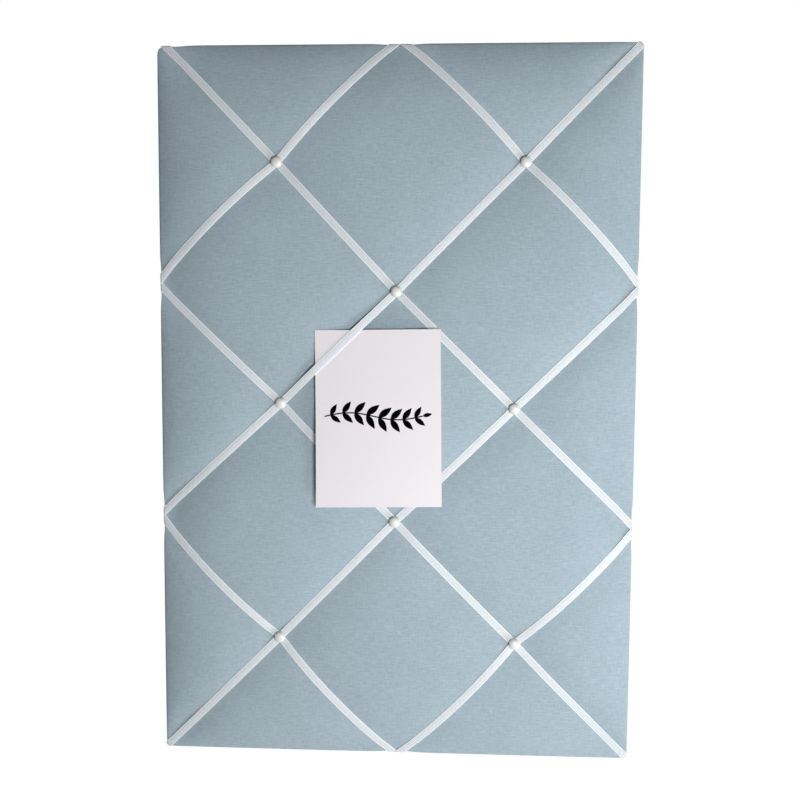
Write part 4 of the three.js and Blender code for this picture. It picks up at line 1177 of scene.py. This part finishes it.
def leaf_outline(share, turn, size):
    """A pointed leaf on the stem, turned from the stem's direction. Both its edges are arcs of a sine."""
    way = stem_place(share + STEM_NUDGE) - stem_place(share - STEM_NUDGE)
    angle = math.atan2(way[1], way[0]) + turn
    along = np.array([math.cos(angle), math.sin(angle)])
    outline = []
    for side in (1, -1):
        for step in range(LEAF_STEPS):
            reach = step / LEAF_STEPS if side > 0 else 1 - step / LEAF_STEPS
            bulge = side * LEAF_WIDTH / 2 * math.sin(math.pi * reach**LEAF_FULLNESS)
            outline.append(stem_place(share) + (along * LEAF_LENGTH * reach + left_of(along) * bulge) * size)
    return outline


def sprig_outlines():
    stem = [stem_place(share) for share in np.linspace(0, 1, STEM_STEPS + 1)]
    rise = np.array([0, STEM_WIDTH / 2])
    outlines = [[near - rise, far - rise, far + rise, near + rise] for near, far in zip(stem[:-1], stem[1:])]
    for share in np.linspace(FIRST_LEAF, LAST_LEAF, SPRIG_LEAVES):
        size = OUTER_LEAF + (1 - OUTER_LEAF) * math.sin(math.pi * share)
        outlines += [leaf_outline(share, turn, size) for turn in (LEAF_LEAN, -LEAF_LEAN)]
    return outlines + [leaf_outline(1, 0, TIP_LEAF)]


def sprig_mesh():
    """The sprig's outlines as thin raised ink."""
    points = []
    faces = []
    for outline in sprig_outlines():
        for lift in (INK_THICKNESS, INK_LIFT):
            for across, up in outline:
                points.append(card_point(0.5 + across / CARD_WIDTH, 0.5 + up / CARD_HEIGHT, lift))
        back = range(len(points) - len(outline), len(points))
        front = range(back[0] - len(outline), back[0])
        faces += [front, reversed(back), *band_faces(front, back)]
    piece = add_mesh("card_sprig", points, faces)
    piece.data.shade_flat()
    return piece


# Nails

def nail_profile(shank_length):
    """From the point up the shank, inside the hollow head, round its rim and over the dome."""
    profile = [(0, -shank_length), (SHANK_RADIUS, SHANK_POINT - shank_length)]
    inside = HEAD_RADIUS - HEAD_WALL
    for turn in np.linspace(math.pi / 2, 0, HOLLOW_STEPS):
        radius = max(inside * math.cos(turn), SHANK_RADIUS)
        profile.append((radius, (HEAD_HEIGHT - HEAD_WALL) * math.sin(turn)))
    profile.append((inside, -HEAD_SKIRT * SKIRT_ROLL))
    profile.append((HEAD_RADIUS - HEAD_WALL / 2, -HEAD_SKIRT))
    profile.append((HEAD_RADIUS - HEAD_WALL / 8, -HEAD_SKIRT * SKIRT_ROLL))
    for turn in np.linspace(0, math.pi / 2, DOME_STEPS)[:-1]:
        radius = HEAD_RADIUS * math.cos(turn) ** DOME_FULLNESS
        profile.append((radius, HEAD_HEIGHT * math.sin(turn) ** DOME_FULLNESS))
    return profile + [(0, HEAD_HEIGHT)]


def add_nail(node):
    low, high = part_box(node)
    seat = low[1] + HEAD_HEIGHT
    nail = lathe(f"dome_{node}", nail_profile(high[1] - seat), NAIL_SIDES)
    middle = box_middle(node)
    nail.location = (middle[0], seat, middle[1])
    dress(nail, enamel)
    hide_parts(node)


# Back: staples, hangers and panel

def staple_shape():
    """A staple's mesh: flat wire with rounded shoulders, its crown along X and its legs towards -Y."""
    half = STAPLE_WIDTH / 2
    path = [(-half, -STAPLE_LEG), (-half, -STAPLE_SHOULDER)]
    for turn in np.linspace(0, math.pi / 2, SHOULDER_STEPS)[1:]:
        x = -half + STAPLE_SHOULDER * (1 - math.cos(turn))
        path.append((x, -STAPLE_SHOULDER * (1 - math.sin(turn))))
    path = np.array(path + [(-x, y) for x, y in reversed(path)])
    near = 1 - STAPLE_WIRE_EDGE
    section = [(-near, -1), (near, -1), (1, -near), (1, near), (near, 1), (-near, 1), (-1, near), (-1, -near)]
    points = []
    for i, place in enumerate(path):
        out = left_of(unit(path[min(i + 1, len(path) - 1)] - path[max(i - 1, 0)]))
        for wide, thick in section:
            inner = place + out * STAPLE_WIRE_THICKNESS * (thick - 1) / 2
            points.append((inner[0], inner[1] + STAPLE_WIRE_THICKNESS, wide * STAPLE_WIRE_WIDTH / 2))
    pattern = add_mesh("staple_shape", points, capped_tube_faces(len(path), len(section)))
    shape = pattern.data
    shape.set_sharp_from_angle(angle=SHARP_ANGLE)
    bpy.data.objects.remove(pattern)
    return shape


def add_staple(shape, name, place, angle, level, node=None):
    staple = add_object(name, shape)
    staple.matrix_world = Matrix.Translation((place[0], level, place[1])) @ Matrix.Rotation(-angle, 4, "Y")
    dress(staple, staple_steel)
    if node:
        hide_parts(node)


def add_staples():
    shape = staple_shape()
    upright = math.pi / 2
    tail_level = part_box("tail_staple_1")[1][1] - STAPLE_WIRE_THICKNESS
    for i, (place, angle) in enumerate(TAIL_STAPLES):
        node = f"tail_staple_{i + 1}"
        add_staple(shape, f"wire_{node}", place, angle, tail_level, node)
    hem_names = sorted(name for name in frame["nodes"] if name.startswith("hem_staple"))
    hem_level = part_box(hem_names[0])[1][1] - STAPLE_WIRE_THICKNESS
    for node in hem_names:
        low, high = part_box(node)
        angle = upright if high[2] - low[2] > high[0] - low[0] else 0
        add_staple(shape, f"wire_{node}", box_middle(node), angle, hem_level, node)
    inset = HALF_WIDTH - abs(box_middle(hem_names[-1])[0])
    extra = [(x, end * (HALF_HEIGHT - inset), 0) for end in (-1, 1) for x in EXTRA_STAPLES_ACROSS]
    extra += [(side * (HALF_WIDTH - inset), z, upright) for side in (-1, 1) for z in EXTRA_STAPLES_UP]
    for i, (x, z, angle) in enumerate(extra):
        level = hem_level + hem_fold(np.array([[x, z]]))[0]
        add_staple(shape, f"extra_staple_{i + 1}", (x, z), angle, level)


def ring_path():
    """A D: a straight bar at the top, two bends and a half circle below."""
    bar = RING_RADIUS - RING_BEND
    arcs = [
        (bar, RING_BEND, np.linspace(math.pi / 2, 0, RING_BEND_STEPS, endpoint=False)),
        (0, RING_RADIUS, np.linspace(0, -math.pi, RING_BOW_STEPS, endpoint=False)),
        (-bar, RING_BEND, np.linspace(math.pi, math.pi / 2, RING_BEND_STEPS + 1)),
    ]
    path = []
    for middle, radius, angles in arcs:
        for angle in angles:
            path.append((middle + radius * math.cos(angle), radius * math.sin(angle) - RING_BEND))
    return np.array(path)


def add_ring(side):
    node = f"hanger_ring_{side}"
    low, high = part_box(node)
    path = ring_path()
    points = []
    for i, place in enumerate(path):
        in_plane = left_of(unit(path[(i + 1) % len(path)] - path[i - 1]))
        for aside, out in RING_WIRE_RADIUS * circle(RING_SIDES):
            x, z = place + in_plane * aside
            points.append((x, out, z))
    faces = grid_faces(len(path), RING_SIDES, closed=True, looped=True)
    ring = add_mesh(f"wire_{node}", points, flipped(faces))
    ring.location = ((low[0] + high[0]) / 2, (low[1] + high[1]) / 2, high[2] - RING_WIRE_RADIUS)
    dress(ring, zinc, body=f"{side}_ring")
    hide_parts(node)


def finish_hanger(piece):
    """Rounds the edges of a hanger's solid and gives it its metal."""
    bevel = piece.modifiers.new("soft edges", "BEVEL")
    bevel.width = HANGER_SOFTNESS
    bevel.segments = 2
    bevel.limit_method = "ANGLE"
    bevel.angle_limit = SHARP_ANGLE
    paint(piece, zinc)


# Assembly, from the layers below to what lies on them

for ribbon in RIBBONS:
    if ribbon.name != CARD_RIBBON:
        lay_ribbon(ribbon)
card = card_mesh()
dress(card, card_stock, body="card")
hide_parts("card")
upper_relief.add(card)
dress(sprig_mesh(), ink, body="card")
lay_ribbon(next(ribbon for ribbon in RIBBONS if ribbon.name == CARD_RIBBON))
for i in range(len(NAIL_CELLS)):
    add_nail(f"nail_{i + 1}")
add_staples()
for side in ("left", "right"):
    add_ring(side)
    for kind in ("strap", "screw"):
        finish_hanger(frame["nodes"][f"hanger_{kind}_{side}"])
paint(frame["nodes"]["panel"], fibreboard)


# Stage

def seen_directly(tree, *other_kinds):
    """1 for rays from the camera and of the other kinds named, and 0 for those that gather light."""
    light_path = add_node(tree, "ShaderNodeLightPath")
    seen = light_path.outputs["Is Camera Ray"]
    for kind in other_kinds:
        seen = add_math("MAXIMUM", seen, light_path.outputs[kind])
    return seen


def floor_look(tree):
    return {"Base Color": (0.82, 0.82, 0.82, 1), "Roughness": 0.9}


def add_floor():
    points = [(0, 0, FLOOR_LEVEL)]
    points += [(x, y, FLOOR_LEVEL) for x, y in FLOOR_RADIUS * circle(FLOOR_SIDES)]
    faces = [(0, 1 + side, 1 + (side + 1) % FLOOR_SIDES) for side in range(FLOOR_SIDES)]
    floor = add_mesh("floor", points, faces)
    material = add_material("pale floor", floor_look)
    tree = material.node_tree
    strength = add_math("MULTIPLY", seen_directly(tree, "Is Glossy Ray"), FLOOR_GLOW)
    glow = add_node(tree, "ShaderNodeEmission", {"Strength": strength})
    inputs = {0: tree.nodes["Principled BSDF"].outputs[0], 1: glow.outputs[0]}
    both = add_node(tree, "ShaderNodeAddShader", inputs)
    set_inputs(tree.nodes["Material Output"], {"Surface": both.outputs[0]})
    paint(floor, material)


def add_world():
    world = bpy.data.worlds.new("studio")
    bpy.context.scene.world = world
    world.use_nodes = True
    tree = world.node_tree
    tree.nodes.clear()
    fill = add_node(tree, "ShaderNodeBackground", {"Color": (1, 1, 1, 1), "Strength": FILL_LIGHT})
    white = add_node(tree, "ShaderNodeBackground", {"Color": (1, 1, 1, 1), "Strength": 1})
    seen = seen_directly(tree, "Is Glossy Ray", "Is Transmission Ray")
    inputs = {0: seen, 1: fill.outputs[0], 2: white.outputs[0]}
    mixed = add_node(tree, "ShaderNodeMixShader", inputs)
    add_node(tree, "ShaderNodeOutputWorld", {"Surface": mixed.outputs[0]})


def look_from(place, aim, roll=0.0):
    """A matrix whose -Z looks from a place at an aim, rolled about that line."""
    back = (place - aim).normalized()
    right = Vector((0, 0, 1)).cross(back).normalized()
    up = back.cross(right)
    turned_right = right * math.cos(roll) + up * math.sin(roll)
    turned_up = up * math.cos(roll) - right * math.sin(roll)
    axes = Matrix((turned_right, turned_up, back)).transposed().to_4x4()
    return Matrix.Translation(place) @ axes


def add_lamp(name, place, size, power):
    lamp = bpy.data.lights.new(name, "AREA")
    lamp.energy = power
    lamp.size = size
    holder = add_object(name, lamp)
    holder.matrix_world = look_from(place, Vector((0, 0, 0)))
    holder.visible_camera = False


def add_camera():
    lens = bpy.data.cameras.new("camera")
    lens.lens = CAMERA_LENS
    lens.sensor_width = CAMERA_SENSOR
    camera = add_object("camera", lens)
    camera.matrix_world = look_from(CAMERA_PLACE, CAMERA_AIM, CAMERA_ROLL)
    bpy.context.scene.camera = camera


add_floor()
add_world()
for name, (place, size, power) in LAMPS.items():
    add_lamp(name, place, size, power)
add_camera()
bpy.context.scene.view_settings.view_transform = "Standard"
